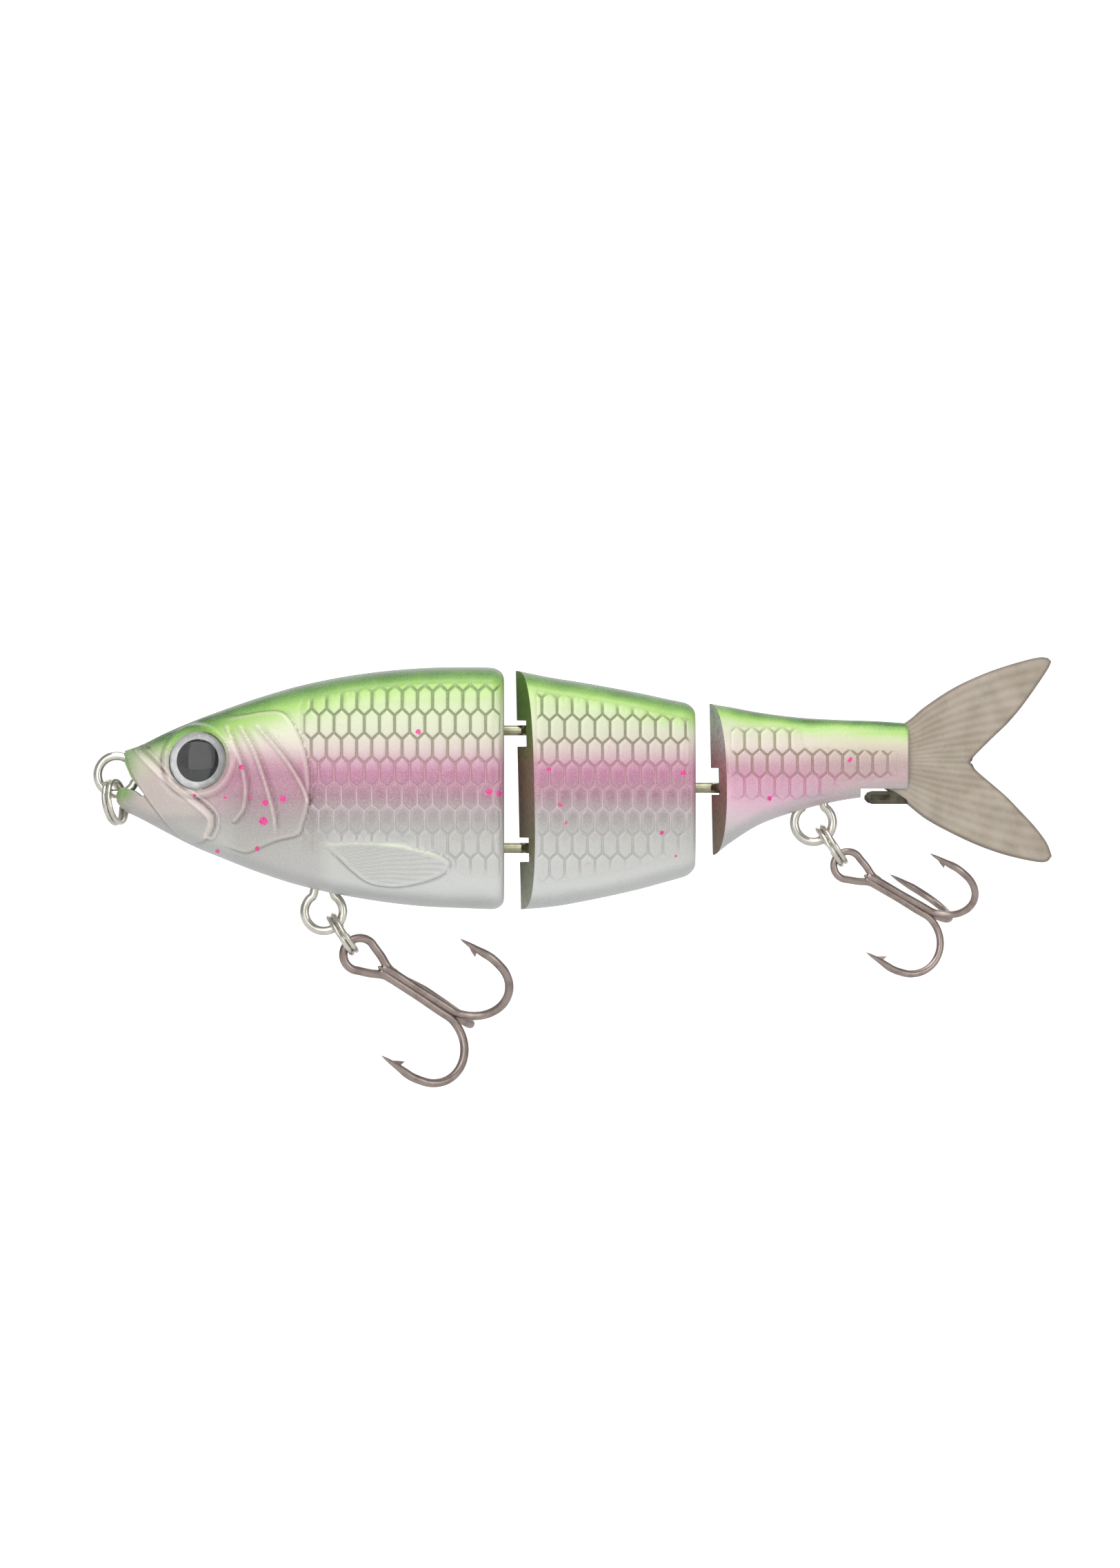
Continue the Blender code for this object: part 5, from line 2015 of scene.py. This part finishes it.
@dataclass
class TailFin:
    """The soft forked fin and the keeper that holds it.

    Attributes:
        finishes: The finishes to dress them in.
        hub: Where the rays spread from, in millimetres.
        thick: The half thickness at the root and at the tips.
        rays: How many rays each lobe has.
        upper: The upper lobe's outer edge, from the root to the tip.
        upper_fork: Its inner edge, from the fork to the tip.
        lower: The lower lobe's outer edge.
        lower_fork: Its inner edge.
        columns: How many points a sheet has along a lobe.
        rows: How many it has across.
    """

    finishes: Finishes
    hub: tuple[float, float] = (124.5, 2.6)
    thick: tuple[float, float] = (1.3, 0.55)
    rays: float = 9.5
    upper: tuple[tuple[float, float], ...] = (
        (130.5, 6.6), (135.9, 9.0), (139.4, 11.8), (144.1, 14.9), (148.9, 17.2), (153.6, 18.9),
        (158.4, 20.2), (160.4, 20.25), (161.25, 19.6),
    )
    upper_fork: tuple[tuple[float, float], ...] = (
        (147.2, 2.2), (148.0, 3.3), (151.2, 6.5), (153.6, 8.8), (156.0, 11.6), (158.4, 14.9),
        (160.6, 18.2), (161.25, 19.6),
    )
    lower: tuple[tuple[float, float], ...] = (
        (130.5, -1.2), (135.2, -4.2), (139.4, -7.5), (144.1, -10.1), (148.9, -12.3), (153.6, -13.9),
        (158.4, -14.95), (160.4, -14.95), (161.35, -14.0),
    )
    lower_fork: tuple[tuple[float, float], ...] = (
        (147.2, 2.2), (148.3, 0.8), (151.2, -1.7), (153.6, -3.8), (156.0, -6.3), (158.4, -8.9),
        (160.4, -11.6), (161.35, -14.0),
    )
    columns: int = 150
    rows: int = 64

    def outline(self) -> Points:
        """The blade's free outline, for measuring how near its edge a point is.

        Returns:
            The outline's points.
        """
        parts = [rounded_line(self.upper, 60), rounded_line(self.upper_fork, 50)[::-1],
                 rounded_line(self.lower_fork, 50), rounded_line(self.lower, 60)[::-1]]
        return [tuple(p) for p in np.vstack(parts)]

    def lobe(self, word: str, edge: Points, fork: Points) -> bpy.types.Object:
        """One lobe, as two sheets that meet along the free edge.

        Args:
            word: The piece's name.
            edge: The lobe's outer edge.
            fork: Its inner edge.

        Returns:
            The lobe.
        """
        root = [(130.5, 2.6), (136.0, 2.5), (141.0, 2.35), (144.6, 2.25)]
        outer = rounded_line(edge, self.columns)
        inner = rounded_line([*root, *fork], self.columns)
        share = np.linspace(0, 1, self.rows)[None, :, None]
        flat = outer[:, None] * (1 - share) + inner[:, None] * share
        x, z = flat[..., 0], flat[..., 1]
        distance, _ = along_line(x, z, self.outline())
        run = ease(x, 134.0, 160.0)
        thick = self.thick[0] + (self.thick[1] - self.thick[0]) * run
        edge_round = np.clip(distance / 0.75, 0, 1)
        ray = self.ray(x, z)
        ridge = 0.07 * (ray - 0.5) * ease(distance, 0.4, 1.4) * ease(x, 137, 141)
        thick = thick * np.sqrt(1 - (1 - edge_round) ** 2) + ridge
        sheets = []
        for face in (-1, 1):
            piece, column, row = Bench.grid(f"{word} {face}", self.columns, self.rows)
            points = np.stack([x, face * thick, z], axis=-1)[column, row]
            write_points(piece, points * MM)
            write_attribute(piece, "ray", ray[column, row])
            write_attribute(piece, "rim", (1 - ease(distance, 0.1, 0.7))[column, row])
            sheets.append(piece)
        return Bench.join(sheets, word)

    def ray(self, x: np.ndarray, z: np.ndarray) -> np.ndarray:
        """1 on a ray and 0 between two, with each ray following its lobe's outer edge.

        Args:
            x: The points' x.
            z: The points' z.

        Returns:
            The height of the rays.
        """
        dx, dz = x - self.hub[0], z - self.hub[1]
        radius, angle = np.hypot(dx, dz), np.arctan2(dz, dx)
        share = np.zeros_like(x)
        for edge, up in ((self.upper, 1), (self.lower, -1)):
            line = rounded_line(edge, 80) - np.array(self.hub)
            reach = np.hypot(line[:, 0], line[:, 1])
            bound = np.interp(radius, reach, np.abs(np.arctan2(line[:, 1], line[:, 0])))
            share = np.where(angle * up > 0, np.abs(angle) / bound, share)
        wave = 0.5 + 0.5 * np.cos(2 * pi * self.rays * share ** 0.9)
        return wave ** 0.8

    def keeper(self) -> bpy.types.Object:
        """The tab under the shell, with the slot that a staple goes through.

        Returns:
            The keeper.
        """
        outline = [(135.9, -2.75), (130.3, -2.75), (129.5, -3.0), (129.0, -3.6), (129.0, -4.2),
                   (129.5, -4.75), (130.3, -5.0), (136.4, -5.0)]
        tab = Bench.plate(outline, -1.25, 1.25)
        slot = [(130.0, -3.4), (133.3, -3.4), (133.3, -4.3), (130.0, -4.3)]
        for low, high in ((-3, -0.3), (0.3, 3)):
            Bench.combine(tab, Bench.plate(slot, low, high), Boolean.CUT)
        Bench.take(tab)
        bevel = tab.modifiers.new("soft edges", "BEVEL")
        bevel.width, bevel.segments = 0.0002, 3
        bpy.ops.object.modifier_apply(modifier=bevel.name)
        tab.name = "fin_keeper"
        return tab

    def build(self) -> None:
        """Builds the fin and its keeper."""
        lobes = [self.lobe("upper lobe", self.upper, self.upper_fork),
                 self.lobe("lower lobe", self.lower, self.lower_fork)]
        fin = Bench.join(lobes, "forked_fin")
        Bench.weld(fin, 4e-6)
        dress(fin, self.finishes.soft)
        Bench.smooth(fin, 70)
        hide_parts("tail_fin")
        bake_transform(fin)
        # The dark finish is partly the keeper's tone and partly painted shade in its slot.
        keeper = dress(self.keeper(), self.finishes.dark)
        Bench.smooth(keeper, 40)
        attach(keeper, "tail_section")
        LOG.info("fin: %d faces", len(fin.data.polygons))


# ---------------------------------------------------------------- studio


@dataclass(frozen=True)
class Lamp:
    """A soft square lamp.

    Attributes:
        name: Its name.
        place: Where it stands, in metres.
        size: Its side, in metres.
        power: Its power, in watts.
        colour: Its light's colour.
    """

    name: str
    place: tuple[float, float, float]
    size: float
    power: float
    colour: Colour = (1.0, 1.0, 1.0)


@dataclass
class Studio:
    """The floor, the lamps and the camera.

    Attributes:
        aim: The point in the middle of the picture.
        tall: How much the picture takes in from top to bottom, in metres.
        lens: The lens's focal length in millimetres.
        floor: The floor's height.
        lamps: The lamps.
        room: How strong the room's own light is.
    """

    aim: tuple[float, float, float] = (0.07646, 0.0, -0.00155)
    tall: float = 0.2706
    lens: float = 200.0
    floor: float = -0.076
    lamps: tuple[Lamp, ...] = (
        Lamp("overhead", (0.06, -0.22, 0.55), 0.40, 1.3),
        Lamp("front", (-0.15, -0.85, 0.32), 0.80, 3.0),
        Lamp("far_side", (0.55, -0.40, 0.05), 0.30, 0.5),
        Lamp("behind", (0.1, 0.5, 0.4), 0.5, 0.7),
    )
    room: float = 0.42

    def camera(self) -> None:
        """Adds the camera, level and square to the near flank."""
        bpy.ops.object.camera_add()
        camera = Bench.name("camera")
        camera.data.lens = self.lens
        sensor = 36.0
        camera.data.sensor_width = sensor
        camera.data.sensor_fit = "AUTO"
        away = self.tall / 2 * self.lens / (sensor / 2)
        camera.location = Vector(self.aim) - Vector((0, away, 0))
        camera.rotation_euler = (pi / 2, 0, 0)
        camera.data.clip_start, camera.data.clip_end = 0.05, 20
        bpy.context.scene.camera = camera

    def backdrop(self) -> None:
        """Adds a pale floor that sweeps up behind the object."""
        Bench.clear()
        bpy.ops.mesh.primitive_grid_add(x_subdivisions=2, y_subdivisions=40, size=2)
        sweep = Bench.name("sweep")
        points = read_points(sweep)
        share = (points[:, 1] + 1) / 2
        flat, bend = 0.9, 0.6
        length = share * 5.0 - 2.2
        turn = np.clip((length - flat) / bend, 0, pi / 2)
        up = np.clip(length - flat - bend * pi / 2, 0, None)
        y = np.minimum(length, flat) + bend * np.sin(turn)
        z = self.floor + bend * (1 - np.cos(turn)) + up
        write_points(sweep, np.column_stack([points[:, 0] * 3, y, z]))
        recipe = Recipe("white_sweep", Base_Color=(0.75, 0.75, 0.75), Roughness=0.9, Emission_Strength=1.0)
        seen = recipe.node("ShaderNodeLightPath", output="Is Camera Ray")
        recipe.feed("Emission Color", recipe.mix(seen, (0.14, 0.14, 0.14), (1.0, 1.0, 1.0)))
        dress(sweep, recipe.material)
        Bench.smooth(sweep, 60)

    def lights(self) -> None:
        """Adds the lamps and the soft light of the room."""
        for lamp in self.lamps:
            bpy.ops.object.light_add(type="AREA", location=lamp.place)
            light = Bench.name(lamp.name)
            light.data.size, light.data.energy, light.data.color = lamp.size, lamp.power, lamp.colour
            aim = Vector(self.aim) - Vector(lamp.place)
            light.rotation_euler = aim.to_track_quat("-Z", "Y").to_euler()
        world = bpy.data.worlds.new("room")
        bpy.context.scene.world = world
        world.use_nodes = True
        sky = world.node_tree.nodes["Background"].inputs
        sky["Color"].default_value = (1, 1, 1, 1)
        sky["Strength"].default_value = self.room
        bpy.context.scene.view_settings.view_transform = "Standard"

    def build(self) -> None:
        """Sets the studio up."""
        self.camera()
        self.backdrop()
        self.lights()


def main() -> None:
    """Builds the studio and then the object, piece by piece."""
    logging.basicConfig(level=logging.INFO, format="%(name)s: %(message)s")
    Studio().build()
    finishes = Finishes()
    HardBody(finishes).build()
    Hardware(finishes).build()
    TailFin(finishes).build()


if __name__ == "__main__":
    main()
